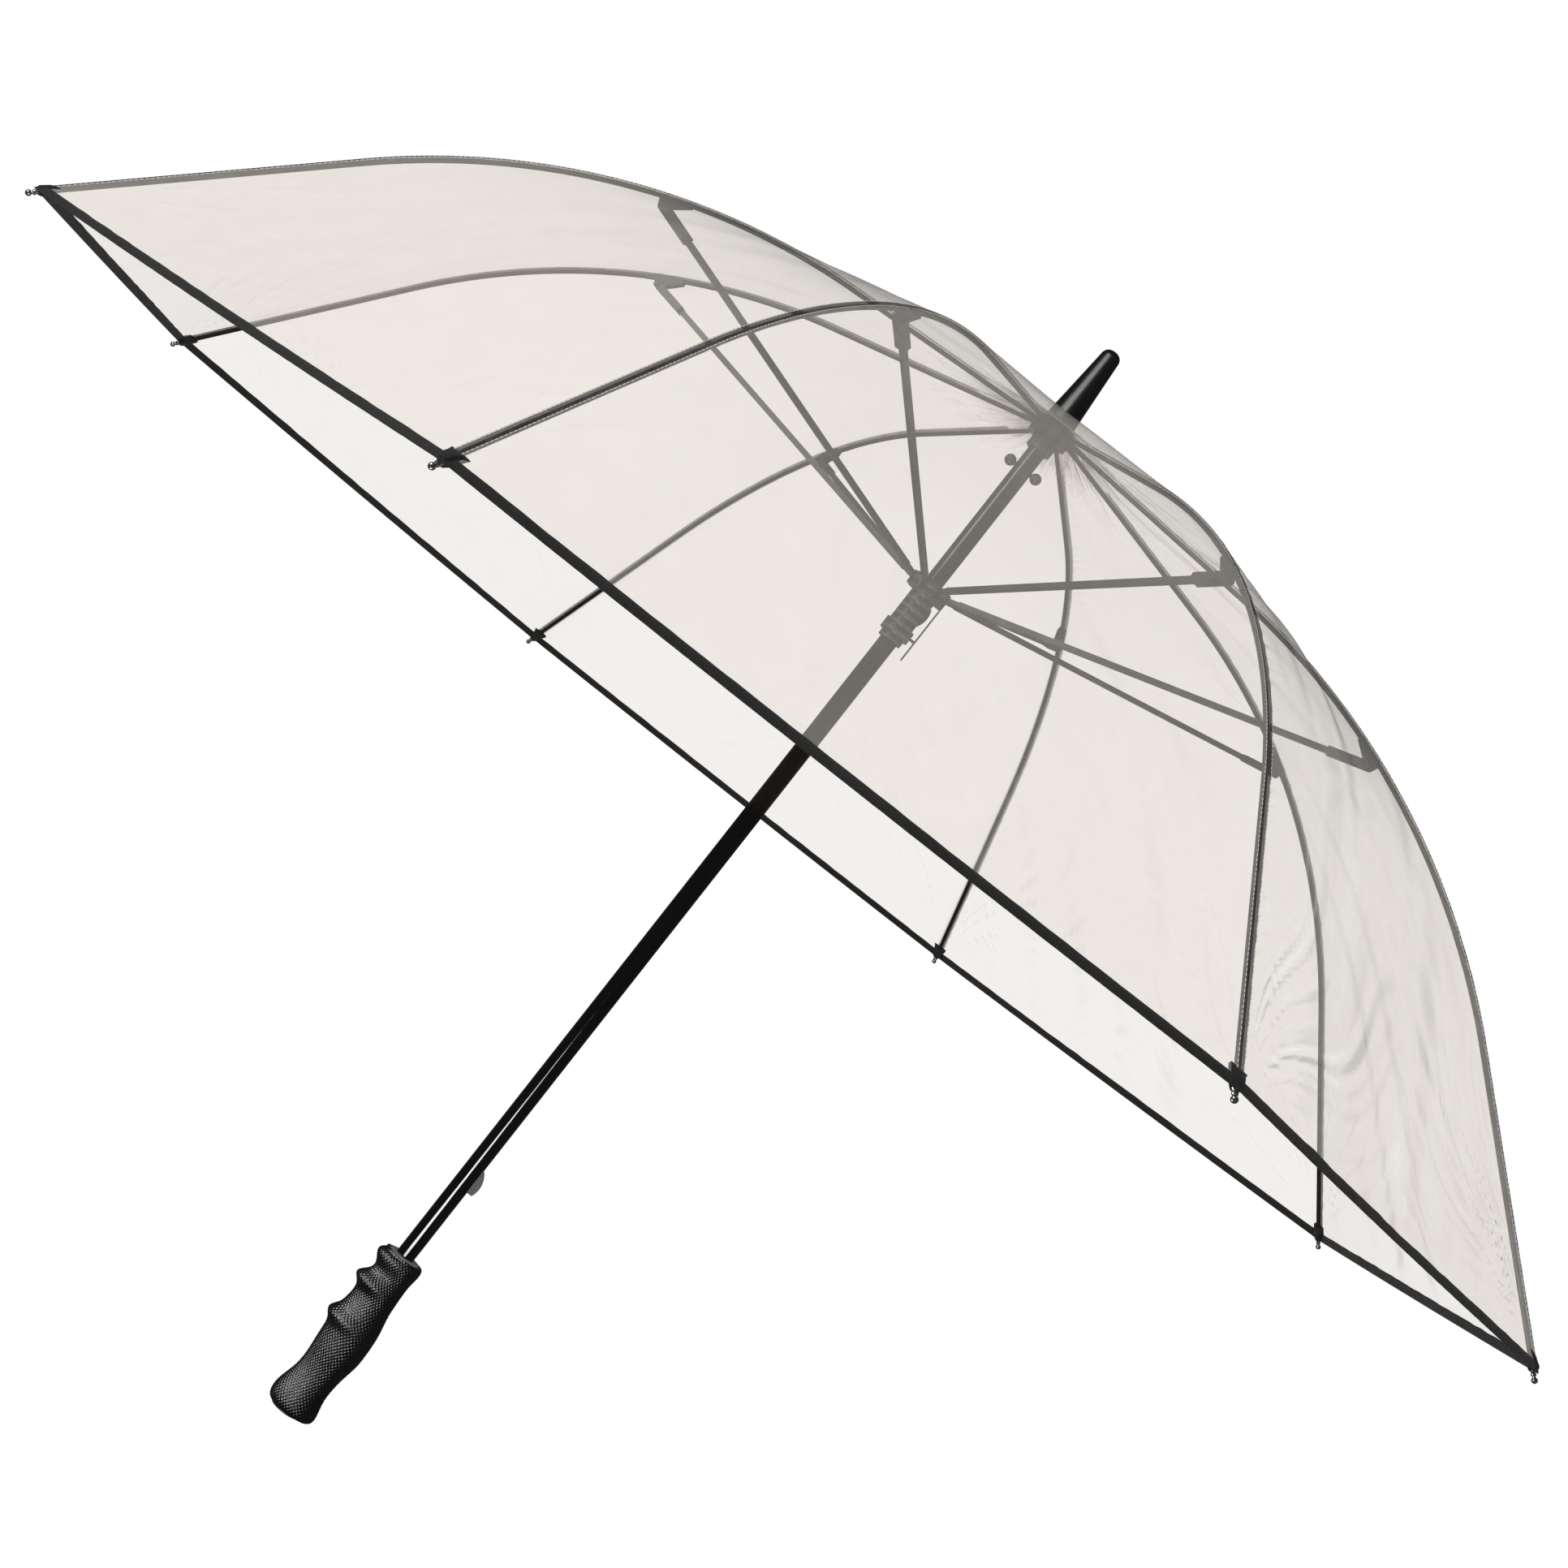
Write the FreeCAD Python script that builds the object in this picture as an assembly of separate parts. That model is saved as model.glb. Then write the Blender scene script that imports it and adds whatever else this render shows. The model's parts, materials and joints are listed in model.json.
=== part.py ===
"""Clear golf umbrella, open: eight double-hinged ribs, stretchers and a runner on a straight shaft.

Millimetres. The origin is the middle of the grip on the shaft's axis, +Z runs up the shaft to the
ferrule, and -X is the side of the grip's finger grooves. Each rib is drawn in the XZ plane with +X
pointing out along it, and then turned about Z to its place.
"""
import FreeCAD, Part

import math
import os

from FreeCAD import Vector

os.makedirs("parts", exist_ok=True)

# ---------------------------------------------------------------- driving dimensions
RIB_COUNT = 8
FIRST_RIB_AZIMUTH = 22.5          # degrees from +X
RIM_RADIUS = 645.0                # shaft axis to the ball on a rib's tip
RIM_Z = 484.0                     # height of the tips
CROWN_PIVOT_Z = 820.0             # rib hinge wire in the crown
HINGE_WIRE_RADIUS = 12.0          # ring radius of both hinge wires
JOINT_RADIUS = 329.0              # stretcher rivet on the rib, from the axis
JOINT_Z = 747.0
RIB_FIRST_STRAIGHT = 178.0        # straight part of a rib next to the crown
RIB_FIRST_SLOPE = 8.3             # degrees down from level there
RIB_LAST_SLOPE = 46.0             # degrees down from level at the tip
RIB_ROD_RADIUS = 1.75

SHAFT_RADIUS = 7.0
SHAFT_WALL = 1.0
SHAFT_BOTTOM_Z = -58.0
SHAFT_TOP_Z = 845.0

GRIP_TOP_Z = 67.0
GRIP_BOTTOM_Z = -67.0
GRIP_SIDE_SHARE = 0.86            # width across the palm over width front to back

FERRULE_BASE_Z = 829.6
FERRULE_TIP_Z = 894.0
FERRULE_BASE_RADIUS = 12.0
FERRULE_TIP_RADIUS = 7.1

STOP_PIN_Z = 785.0
STOP_PIN_RADIUS = 1.6
STOP_PIN_HEAD_RADIUS = 4.4
STOP_PIN_HEAD_REACH = 11.6        # middle of a head, from the axis

CROWN_RADIUS = 16.0
RUNNER_FLANGE_RADIUS = 16.5
RUNNER_BORE_RADIUS = 7.25
WIRE_RADIUS = 0.8
WIRE_EYE_RADIUS = 0.95
EYE_RADIUS = 2.2                  # outside radius of the eyes that turn on the wires
EYE_THICKNESS = 3.0
NOTCH_WIDTH = 3.7                 # slot for an eye in the crown and runner

FILM_THICKNESS = 0.25
FILM_OVER_RIB = 2.6               # rib centre line to the film's inside
BINDING_WIDTH = 7.6
BINDING_THICKNESS = 0.3

UPPER_CATCH_Z = 644.0             # lower end of the catch under the open runner
LOWER_CATCH_Z = 130.0             # lower end of the catch under the closed runner
CATCH_LENGTH = 19.0
CATCH_REACH = 12.3                # furthest point of a catch from the axis
CATCH_STEP_REACH = 10.7           # its blunt end
CATCH_HALF_WIDTH = 2.4

# ---------------------------------------------------------------- worked out from them
RUNNER_PIVOT_Z = 2 * JOINT_Z - CROWN_PIVOT_Z     # rib and stretcher are equal, so the linkage is isosceles
HALF_STEP = math.radians(180.0 / RIB_COUNT)
AXIS_Y = Vector(0, 1, 0)
AXIS_Z = Vector(0, 0, 1)


def at(x, z, y=0.0):
    """A point of the rib's plane, in the order the drawings use."""
    return Vector(x, y, z)


def azimuth(number):
    """Direction of rib 1, 2, 3 ... in degrees."""
    return FIRST_RIB_AZIMUTH + (number - 1) * 360.0 / RIB_COUNT


def turned(shape, degrees):
    """A copy of shape turned about the shaft's axis."""
    copy = shape.copy()
    copy.rotate(Vector(0, 0, 0), AXIS_Z, degrees)
    return copy


def save(shape, node):
    """One node, as its own STEP file."""
    shape.exportStep("parts/%s.step" % node)


def tube(radius, bore, low, high):
    """Upright ring or tube."""
    outside = Part.makeCylinder(radius, high - low, Vector(0, 0, low))
    return outside.cut(Part.makeCylinder(bore, high - low + 2, Vector(0, 0, low - 1)))


def disc(centre, radius, half_thickness):
    """Round plate standing in the rib's plane."""
    return Part.makeCylinder(radius, 2 * half_thickness, centre - AXIS_Y * half_thickness, AXIS_Y)


def slab(points, y_low, y_high):
    """Prism over an outline in the rib's plane."""
    wire = Part.makePolygon([at(x, z, y_low) for x, z in points + points[:1]])
    return Part.Face(wire).extrude(AXIS_Y * (y_high - y_low))


class Leg:
    """A straight or evenly bent stretch of a rib's centre line. Slopes are angles below level, in radians."""

    def __init__(self, start, slope, length, radius=None):
        self.start = start
        self.slope = slope
        self.length = length
        self.radius = radius
        if radius:
            self.centre = start - at(math.sin(slope), math.cos(slope)) * radius

    def slope_at(self, along):
        return self.slope + (along / self.radius if self.radius else 0.0)

    def tangent(self, along):
        """Unit vector along the leg, away from the crown."""
        slope = self.slope_at(along)
        return at(math.cos(slope), -math.sin(slope))

    def point(self, along, out=0.0):
        """Point at a distance along the leg, and out from it."""
        slope = self.slope_at(along)
        outward = at(math.sin(slope), math.cos(slope))
        if self.radius:
            return self.centre + outward * (self.radius + out)
        return self.start + self.tangent(along) * along + outward * out

    def sweep(self, face, start, end):
        """Solid made by a face that stands across the leg at start and is carried on to end."""
        if self.radius:
            return face.revolve(self.centre, AXIS_Y, math.degrees((end - start) / self.radius))
        return face.extrude(self.tangent(start) * (end - start))


class Course:
    """Legs joined end to end."""

    def __init__(self, legs):
        self.legs = legs
        self.length = sum(leg.length for leg in legs)

    def leg_at(self, along):
        """The leg at a distance along the course, and the distance along that leg."""
        for leg in self.legs[:-1]:
            if along < leg.length:
                return leg, along
            along -= leg.length
        return self.legs[-1], along

    def point(self, along, out=0.0):
        leg, rest = self.leg_at(along)
        return leg.point(rest, out)

    def tangent(self, along):
        leg, rest = self.leg_at(along)
        return leg.tangent(rest)

    def swept(self, across, start, end):
        """Solid along the course. across(leg, along) is its section, as a face."""
        pieces = []
        begun = 0.0
        for leg in self.legs:
            low = max(start - begun, 0.0)
            high = min(end - begun, leg.length)
            if high - low > 1e-6:
                pieces.append(leg.sweep(across(leg, low), low, high))
            begun += leg.length
        return pieces[0].fuse(pieces[1:]) if len(pieces) > 1 else pieces[0]

    def rod(self, radius, start, end):
        """Round rod."""
        def across(leg, along):
            circle = Part.makeCircle(radius, leg.point(along), leg.tangent(along))
            return Part.Face(Part.Wire(circle))
        return self.swept(across, start, end)

    def bar(self, half_width, low, high, start, end):
        """Flat bar between two distances out from the course."""
        def across(leg, along):
            inner = leg.point(along, low)
            outer = leg.point(along, high)
            side = AXIS_Y * half_width
            return Part.Face(Part.makePolygon([inner - side, inner + side, outer + side, outer - side, inner - side]))
        return self.swept(across, start, end)


CROWN_PIVOT = at(HINGE_WIRE_RADIUS, CROWN_PIVOT_Z)
RUNNER_PIVOT = at(HINGE_WIRE_RADIUS, RUNNER_PIVOT_Z)
RIVET = at(JOINT_RADIUS, JOINT_Z)
RIB_TIP = at(RIM_RADIUS, RIM_Z)


def rib_courses():
    """Inner and outer rib: straight, one arc that runs through both, and straight again to the tip.

    The arc's radius and the last straight's length follow from where the tip is. The joint is the point of the
    arc that is nearest the rivet.
    """
    first, last = math.radians(RIB_FIRST_SLOPE), math.radians(RIB_LAST_SLOPE)
    straight = Leg(CROWN_PIVOT, first, RIB_FIRST_STRAIGHT)
    bend_start = straight.point(RIB_FIRST_STRAIGHT)
    gap = RIB_TIP - bend_start
    over = math.sin(last) - math.sin(first)
    down = math.cos(first) - math.cos(last)
    size = over * math.sin(last) - down * math.cos(last)
    radius = (gap.x * math.sin(last) + gap.z * math.cos(last)) / size
    end_length = (-gap.z * over - gap.x * down) / size
    bend = Leg(bend_start, first, radius * (last - first), radius)
    to_rivet = RIVET - bend.centre
    joint_slope = math.atan2(to_rivet.x, to_rivet.z)
    before = radius * (joint_slope - first)
    joint = bend.point(before)
    inner = Course([straight, Leg(bend_start, first, before, radius)])
    end = Leg(bend.point(bend.length), last, end_length)
    outer = Course([Leg(joint, joint_slope, bend.length - before, radius), end])
    return inner, outer


INNER_LINE, OUTER_LINE = rib_courses()
RIB_JOINT = OUTER_LINE.point(0)

# ---------------------------------------------------------------- rib joint, from the middle outwards
RIB_EYE_HALF = 1.5                # eye of the outer rib
PLATE_INSIDE = 1.85               # bracket's side plates
PLATE_OUTSIDE = 2.85
FORK_INSIDE = 3.25                # stretcher's fork outside them
FORK_OUTSIDE = 4.2
RIB_PIN_RADIUS = 1.0
RIVET_RADIUS = 1.2
PIN_CLEARANCE = 0.05


def inner_rib():
    """Rod from the crown's hinge wire to the bracket."""
    eye = disc(CROWN_PIVOT, EYE_RADIUS, EYE_THICKNESS / 2)
    neck = INNER_LINE.bar(EYE_THICKNESS / 2, -1.6, 1.6, 0, 16)
    rod = INNER_LINE.rod(RIB_ROD_RADIUS, 12, INNER_LINE.length - 4)
    hole = disc(CROWN_PIVOT, WIRE_EYE_RADIUS, 5)
    return eye.fuse([neck, rod]).cut(hole).removeSplitter()


def bracket():
    """Folded clip on the inner rib's end with its two pins: the rib pin, and the stretcher's rivet below it."""
    def place(along, out):
        """Point near the rib joint: along the rib and out from its centre line."""
        run = OUTER_LINE.tangent(0)
        spot = RIB_JOINT + run * along + at(-run.z, run.x) * out
        return spot.x, spot.z

    upper = [place(-20, 1.3), place(3.2, 1.3), place(3.2, -6)]
    lower = [place(2.2, -8.4), place(-2.2, -8.4), place(-20, -3.1)]
    outline = upper + lower
    floor = [place(-20, -2.3), place(-8, -1.95), place(-8, -2.75), place(-20, -3.1)]
    clip = slab(outline, PLATE_INSIDE, PLATE_OUTSIDE)
    clip = clip.fuse([slab(outline, -PLATE_OUTSIDE, -PLATE_INSIDE), slab(floor, -PLATE_OUTSIDE, PLATE_OUTSIDE)])
    rib_pin = disc(RIB_JOINT, RIB_PIN_RADIUS, PLATE_OUTSIDE + 0.2)
    rivet = disc(RIVET, RIVET_RADIUS, FORK_OUTSIDE + 0.3)
    heads = []
    for side in (-1, 1):
        head = disc(RIVET + AXIS_Y * side * (FORK_OUTSIDE + 0.6), 2.1, 0.4)
        heads.append(head)
    return clip.fuse([rib_pin, rivet] + heads).removeSplitter()


def outer_rib():
    """Rod from the bracket to the tip cap, with a flat eye on the rib pin."""
    eye = disc(RIB_JOINT, 1.9, RIB_EYE_HALF)
    neck = OUTER_LINE.bar(RIB_EYE_HALF, -1.5, 1.5, 0, 12)
    rod = OUTER_LINE.rod(RIB_ROD_RADIUS, 8, OUTER_LINE.length - 16)
    end = OUTER_LINE.rod(1.3, OUTER_LINE.length - 18, OUTER_LINE.length - 6)
    hole = disc(RIB_JOINT, RIB_PIN_RADIUS + PIN_CLEARANCE, 5)
    return eye.fuse([neck, rod, end]).cut(hole).removeSplitter()


def tip_cap():
    """Turned cap on the rib's end: sleeve, bead and ball."""
    cap_length = 15.0
    ball_radius = 2.1
    base = RIB_TIP - OUTER_LINE.tangent(OUTER_LINE.length) * cap_length
    sleeve = [(0, 0), (2.3, 0), (2.3, 9.0), (1.8, 9.6)]
    bead = [(1.2, 10.2), (1.8, 11.0), (1.8, 11.8), (1.1, 12.6), (1.1, 14.0), (0, 14.0)]
    outline = sleeve + bead
    wire = Part.makePolygon([Vector(r, 0, h) for r, h in outline + outline[:1]])
    cap = Part.Face(wire).revolve(Vector(0, 0, 0), AXIS_Z, 360)
    cap = cap.fuse(Part.makeSphere(ball_radius, Vector(0, 0, cap_length))).removeSplitter()
    cap.Placement = FreeCAD.Placement(base, FreeCAD.Rotation(AXIS_Z, OUTER_LINE.tangent(OUTER_LINE.length)))
    return cap.cut(OUTER_LINE.rod(1.3, OUTER_LINE.length - 18, OUTER_LINE.length - 6))


def stretcher():
    """Strut from the rivet to the runner's hinge wire: fork, socket, flat rod and eye."""
    reach = RUNNER_PIVOT - RIVET
    length = reach.Length
    along = Vector(reach).normalize()
    across = at(-along.z, along.x)

    def bar(start, end, half_height, y_low, y_high):
        """Straight piece of the strut."""
        corners = [(start, -half_height), (end, -half_height), (end, half_height), (start, half_height)]
        spots = [RIVET + along * a + across * b for a, b in corners]
        return slab([(p.x, p.z) for p in spots], y_low, y_high)

    pieces = [bar(13, 30, 2.8, -FORK_OUTSIDE, FORK_OUTSIDE)]
    for low, high in ((FORK_INSIDE, FORK_OUTSIDE), (-FORK_OUTSIDE, -FORK_INSIDE)):
        middle = RIVET + AXIS_Y * (low + high) / 2
        pieces += [disc(middle, 2.8, (high - low) / 2), bar(0, 14, 2.8, low, high)]
    pieces.append(bar(29, length - 14, 2.1, -1.8, 1.8))
    pieces.append(bar(length - 16, length, 1.6, -EYE_THICKNESS / 2, EYE_THICKNESS / 2))
    pieces.append(disc(RUNNER_PIVOT, EYE_RADIUS, EYE_THICKNESS / 2))
    holes = [disc(RIVET, RIVET_RADIUS + PIN_CLEARANCE, 6), disc(RUNNER_PIVOT, WIRE_EYE_RADIUS, 5)]
    return pieces[0].fuse(pieces[1:]).cut(holes[0]).cut(holes[1]).removeSplitter()


# ---------------------------------------------------------------- shaft and what is fixed to it

def hinge_wire(height):
    """Ring of wire that the eyes turn on."""
    return Part.makeTorus(HINGE_WIRE_RADIUS, WIRE_RADIUS, Vector(0, 0, height))


def notched(body, height):
    """body with a radial slot for each eye, and a groove that its hinge wire lies in."""
    for number in range(1, RIB_COUNT + 1):
        slot = Part.makeBox(14, NOTCH_WIDTH, 40, Vector(8.9, -NOTCH_WIDTH / 2, height - 20))
        body = body.cut(turned(slot, azimuth(number)))
    return body.cut(Part.makeTorus(HINGE_WIRE_RADIUS, WIRE_RADIUS + 0.02, Vector(0, 0, height)))


def crown():
    """Notched ring at the shaft's top that the ribs hang from, with a lid over the notches."""
    ring = notched(tube(CROWN_RADIUS, SHAFT_RADIUS, CROWN_PIVOT_Z - 8, CROWN_PIVOT_Z + 3), CROWN_PIVOT_Z)
    neck = tube(10.0, SHAFT_RADIUS, CROWN_PIVOT_Z - 18, CROWN_PIVOT_Z - 7)
    for number in range(1, RIB_COUNT + 1):
        slot = Part.makeBox(14, NOTCH_WIDTH, 40, Vector(8.9, -NOTCH_WIDTH / 2, CROWN_PIVOT_Z - 30))
        neck = neck.cut(turned(slot, azimuth(number)))
    lid = tube(CROWN_RADIUS, SHAFT_RADIUS, CROWN_PIVOT_Z + 3, CROWN_PIVOT_Z + 4.5)
    return ring.fuse([neck, lid]).removeSplitter()


def ferrule():
    """Tapered cap over the canopy's middle and the shaft's end, with a rounded tip."""
    body = Part.makeCone(FERRULE_BASE_RADIUS, FERRULE_TIP_RADIUS, FERRULE_TIP_Z - FERRULE_BASE_Z,
                         Vector(0, 0, FERRULE_BASE_Z))
    rim = [edge for edge in body.Edges if edge.BoundBox.ZMin > FERRULE_TIP_Z - 1]
    body = body.makeFillet(FERRULE_TIP_RADIUS * 0.85, rim)
    socket = Part.makeCylinder(SHAFT_RADIUS, SHAFT_TOP_Z - FERRULE_BASE_Z + 1, Vector(0, 0, FERRULE_BASE_Z - 1))
    return body.cut(socket)


def shaft():
    """Steel tube with a slot for each catch and a cross hole for the stop pin."""
    body = tube(SHAFT_RADIUS, SHAFT_RADIUS - SHAFT_WALL, SHAFT_BOTTOM_Z, SHAFT_TOP_Z)
    for low in (UPPER_CATCH_Z, LOWER_CATCH_Z):
        slot = Part.makeBox(12, 2 * CATCH_HALF_WIDTH + 0.8, CATCH_LENGTH + 0.8,
                            Vector(0, -CATCH_HALF_WIDTH - 0.4, low - 0.4))
        body = body.cut(slot)
    return body.cut(stop_pin_rod())


def stop_pin_rod():
    """Straight part of the stop pin."""
    start = Vector(-STOP_PIN_HEAD_REACH, 0, STOP_PIN_Z)
    return Part.makeCylinder(STOP_PIN_RADIUS, 2 * STOP_PIN_HEAD_REACH, start, Vector(1, 0, 0))


def stop_pin():
    """Cross pin with two round heads, above the runner's travel."""
    pin = stop_pin_rod()
    for side in (-1, 1):
        middle = Vector(side * STOP_PIN_HEAD_REACH, 0, STOP_PIN_Z)
        pin = pin.fuse(Part.makeSphere(STOP_PIN_HEAD_RADIUS, middle))
    return pin.removeSplitter()


def catch(low, blunt_end_up):
    """D-shaped button that stands out of the shaft: a blunt end that holds the runner and a ramp it rides up."""
    tail = 2.0
    flat = 0.0 if not blunt_end_up else CATCH_LENGTH
    ramp = CATCH_LENGTH - flat
    step = Vector(CATCH_STEP_REACH, 0, low + flat)
    crest = Vector(CATCH_REACH, 0, low + flat + (ramp - flat) * 0.4)
    toe = Vector(SHAFT_RADIUS, 0, low + ramp)
    back = Vector(tail, 0, low + ramp)
    front = Vector(tail, 0, low + flat)
    edges = [Part.makeLine(front, step), Part.Arc(step, crest, toe).toShape(), Part.makeLine(toe, back),
             Part.makeLine(back, front)]
    body = Part.Face(Part.Wire(edges)).extrude(AXIS_Y * 2 * CATCH_HALF_WIDTH)
    body.translate(AXIS_Y * -CATCH_HALF_WIDTH)
    return body


def catch_springs():
    """A bowed leaf spring inside the shaft behind each catch."""
    springs = []
    for low in (UPPER_CATCH_Z, LOWER_CATCH_Z):
        middle = low + CATCH_LENGTH / 2
        outer = Part.Arc(at(-4.6, middle - 30), at(1.7, middle), at(-4.6, middle + 30)).toShape()
        inner = Part.Arc(at(-5.0, middle - 30), at(1.3, middle), at(-5.0, middle + 30)).toShape()
        ends = [Part.makeLine(at(-5.0, middle + side * 30), at(-4.6, middle + side * 30)) for side in (-1, 1)]
        face = Part.Face(Part.Wire([outer, ends[1], inner, ends[0]]))
        leaf = face.extrude(AXIS_Y * 3.2)
        leaf.translate(AXIS_Y * -1.6)
        springs.append(leaf)
    return Part.makeCompound(springs)


# ---------------------------------------------------------------- grip
# depth below the grip's top, reach to the finger side (-X), reach to the palm side (+X)
GRIP_SECTIONS = [
    (0.0, 15.6, 15.6), (3.0, 17.0, 16.9), (14.5, 14.2, 16.1), (21.3, 15.6, 16.1), (28.0, 20.6, 16.4),
    (33.3, 16.6, 16.8), (39.4, 14.8, 17.4), (46.6, 15.3, 18.8), (53.3, 17.4, 20.2), (59.5, 20.9, 21.1),
    (65.2, 17.5, 21.6), (71.8, 15.6, 21.9), (81.7, 14.6, 21.7), (94.3, 13.3, 19.6), (105.9, 13.8, 18.4),
    (116.8, 16.4, 18.9), (126.0, 17.6, 21.0), (131.0, 16.6, 21.2), (134.0, 14.0, 18.4),
]
COLLAR_RADIUS = 12.4
COLLAR_DEPTH = 3.0
PLUG_RADIUS = 11.5
PLUG_FLANGE = 1.6


def grip_section(depth, finger, palm):
    """Oval across the grip."""
    half_long = (finger + palm) / 2
    half_wide = half_long * GRIP_SIDE_SHARE
    centre = Vector((palm - finger) / 2, 0, GRIP_TOP_Z - depth)
    oval = Part.Ellipse(centre + Vector(half_long, 0, 0), centre + Vector(0, half_wide, 0), centre)
    return Part.Wire(oval.toShape())


def grip():
    """Moulded rubber handle with finger grooves, bored for the shaft, the collar and the end plug's stem."""
    body = Part.makeLoft([grip_section(*row) for row in GRIP_SECTIONS], True, False)
    body = body.cut(Part.makeCylinder(SHAFT_RADIUS, 200, Vector(0, 0, SHAFT_BOTTOM_Z)))
    body = body.cut(Part.makeCylinder(COLLAR_RADIUS, COLLAR_DEPTH + 5, Vector(0, 0, GRIP_TOP_Z - COLLAR_DEPTH)))
    return body.cut(Part.makeCylinder(6.0, 30, Vector(0, 0, GRIP_BOTTOM_Z - 10)))


def grip_collar():
    """Plain ring set into the grip's top around the shaft."""
    return tube(COLLAR_RADIUS, SHAFT_RADIUS, GRIP_TOP_Z - COLLAR_DEPTH, GRIP_TOP_Z + 0.6)


def grip_end_plug():
    """Round end cap with a stem that fills the grip's lower bore."""
    flange = Part.makeCylinder(PLUG_RADIUS, PLUG_FLANGE, Vector(0, 0, GRIP_BOTTOM_Z - PLUG_FLANGE))
    stem = Part.makeCylinder(6.0, SHAFT_BOTTOM_Z - GRIP_BOTTOM_Z, Vector(0, 0, GRIP_BOTTOM_Z))
    return flange.fuse(stem).removeSplitter()


# ---------------------------------------------------------------- runner

def runner():
    """Sliding sleeve: notched flange that carries the stretchers, sleeve with the catch window, and foot."""
    low = RUNNER_PIVOT_Z - 47
    flange = notched(tube(RUNNER_FLANGE_RADIUS, RUNNER_BORE_RADIUS, RUNNER_PIVOT_Z - 5, RUNNER_PIVOT_Z + 5),
                     RUNNER_PIVOT_Z)
    sleeve = tube(10.0, RUNNER_BORE_RADIUS, low + 5, RUNNER_PIVOT_Z - 4)
    collar = tube(11.8, RUNNER_BORE_RADIUS, low + 5, low + 14)
    foot = tube(9.4, RUNNER_BORE_RADIUS, low, low + 6)
    body = flange.fuse([sleeve, collar, foot])
    window = Part.makeBox(12, 2 * CATCH_HALF_WIDTH + 1.6, CATCH_LENGTH + 3,
                          Vector(4, -CATCH_HALF_WIDTH - 0.8, UPPER_CATCH_Z - 2.5))
    return body.cut(window).removeSplitter()


def catch_guard():
    """Thin strip that stands off the runner over the catch window, on two small feet."""
    low = RUNNER_PIVOT_Z - 53
    strip = Part.makeBox(1.0, 6.4, 48, Vector(15.2, -3.2, low))
    feet = [Part.makeBox(6.2, 5.0, 1.6, Vector(9.6, -2.5, RUNNER_PIVOT_Z - 7.4)),
            Part.makeBox(4.6, 5.0, 1.6, Vector(11.2, -2.5, RUNNER_PIVOT_Z - 38))]
    return strip.fuse(feet).cut(runner()).removeSplitter()


# ---------------------------------------------------------------- canopy
FILM_OVER_CROWN = [(7.2, 828.4), (17.0, 826.4), (30.0, 822.8), (46.0, 819.0)]     # (radius, height)
FILM_END = 0.990                  # share of the outer rib that the film covers
HEM_END = 0.992
SEAM_START = 62.0                 # along the inner rib
SEAM_HALF_WIDTH = 4.0
SEAM_THICKNESS = 0.25
TAPE_OFF_CAP = 2.7                # radius kept clear round a tip cap


def film_profile(out):
    """Outline of the canopy over a rib, out beyond the rib's centre line, as (radius, height) points."""
    lift = out - FILM_OVER_RIB
    points = [(radius, height + lift) for radius, height in FILM_OVER_CROWN]
    for line, first, last in ((INNER_LINE, 0.20, 0.97), (OUTER_LINE, 0.03, FILM_END)):
        for step in range(7):
            spot = line.point(line.length * (first + (last - first) * step / 6), out)
            points.append((spot.x, spot.z))
    return points


def hem_profile(out):
    """The same outline over the last stretch only, and just past the film's edge."""
    edge = OUTER_LINE.length * HEM_END
    spots = [OUTER_LINE.point(edge - back, out) for back in (BINDING_WIDTH, BINDING_WIDTH / 2, 0)]
    return [(spot.x, spot.z) for spot in spots]


def panel(profile, inside, outside):
    """Layer of one panel between two ribs, centred on +X.

    A panel is flat from rib to rib, so it is the outline, drawn half way between them, carried sideways and
    cut off at both ribs.
    """
    curves = []
    for out in (inside, outside):
        curve = Part.BSplineCurve()
        curve.interpolate([at(r * math.cos(HALF_STEP), z) for r, z in profile(out)])
        curves.append(curve)
    below, above = curves
    closing = [Part.makeLine(below.value(end(below)), above.value(end(above)))
               for end in (lambda c: c.FirstParameter, lambda c: c.LastParameter)]
    face = Part.Face(Part.Wire([closing[0], above.toShape(), closing[1], below.toShape()]))
    half_width = RIM_RADIUS * math.sin(HALF_STEP) + 10
    band = face.extrude(AXIS_Y * 2 * half_width)
    band.translate(AXIS_Y * -half_width)
    reach = RIM_RADIUS + 50
    corner = reach * math.tan(HALF_STEP)
    triangle = Part.makePolygon([Vector(0, 0, 0), Vector(reach, -corner, 0), Vector(reach, corner, 0), Vector(0, 0, 0)])
    above_all = FERRULE_TIP_Z + 10
    wedge = Part.Face(triangle).extrude(AXIS_Z * above_all)
    return band.common(wedge).cut(Part.makeCylinder(SHAFT_RADIUS + 0.1, above_all))


def film_panel():
    """Clear film of one panel."""
    return panel(film_profile, FILM_OVER_RIB, FILM_OVER_RIB + FILM_THICKNESS)


def hem_panel():
    """Black tape folded over one panel's lower edge, cut back where it meets the tip caps."""
    outside = FILM_OVER_RIB + FILM_THICKNESS + BINDING_THICKNESS
    tape = panel(hem_profile, FILM_OVER_RIB - BINDING_THICKNESS, outside)
    tape = tape.cut(film_panel())
    cap_room = OUTER_LINE.rod(TAPE_OFF_CAP, OUTER_LINE.length - 24, OUTER_LINE.length)
    for side in (-1, 1):
        tape = tape.cut(turned(cap_room, side * 180.0 / RIB_COUNT))
    return tape


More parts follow.
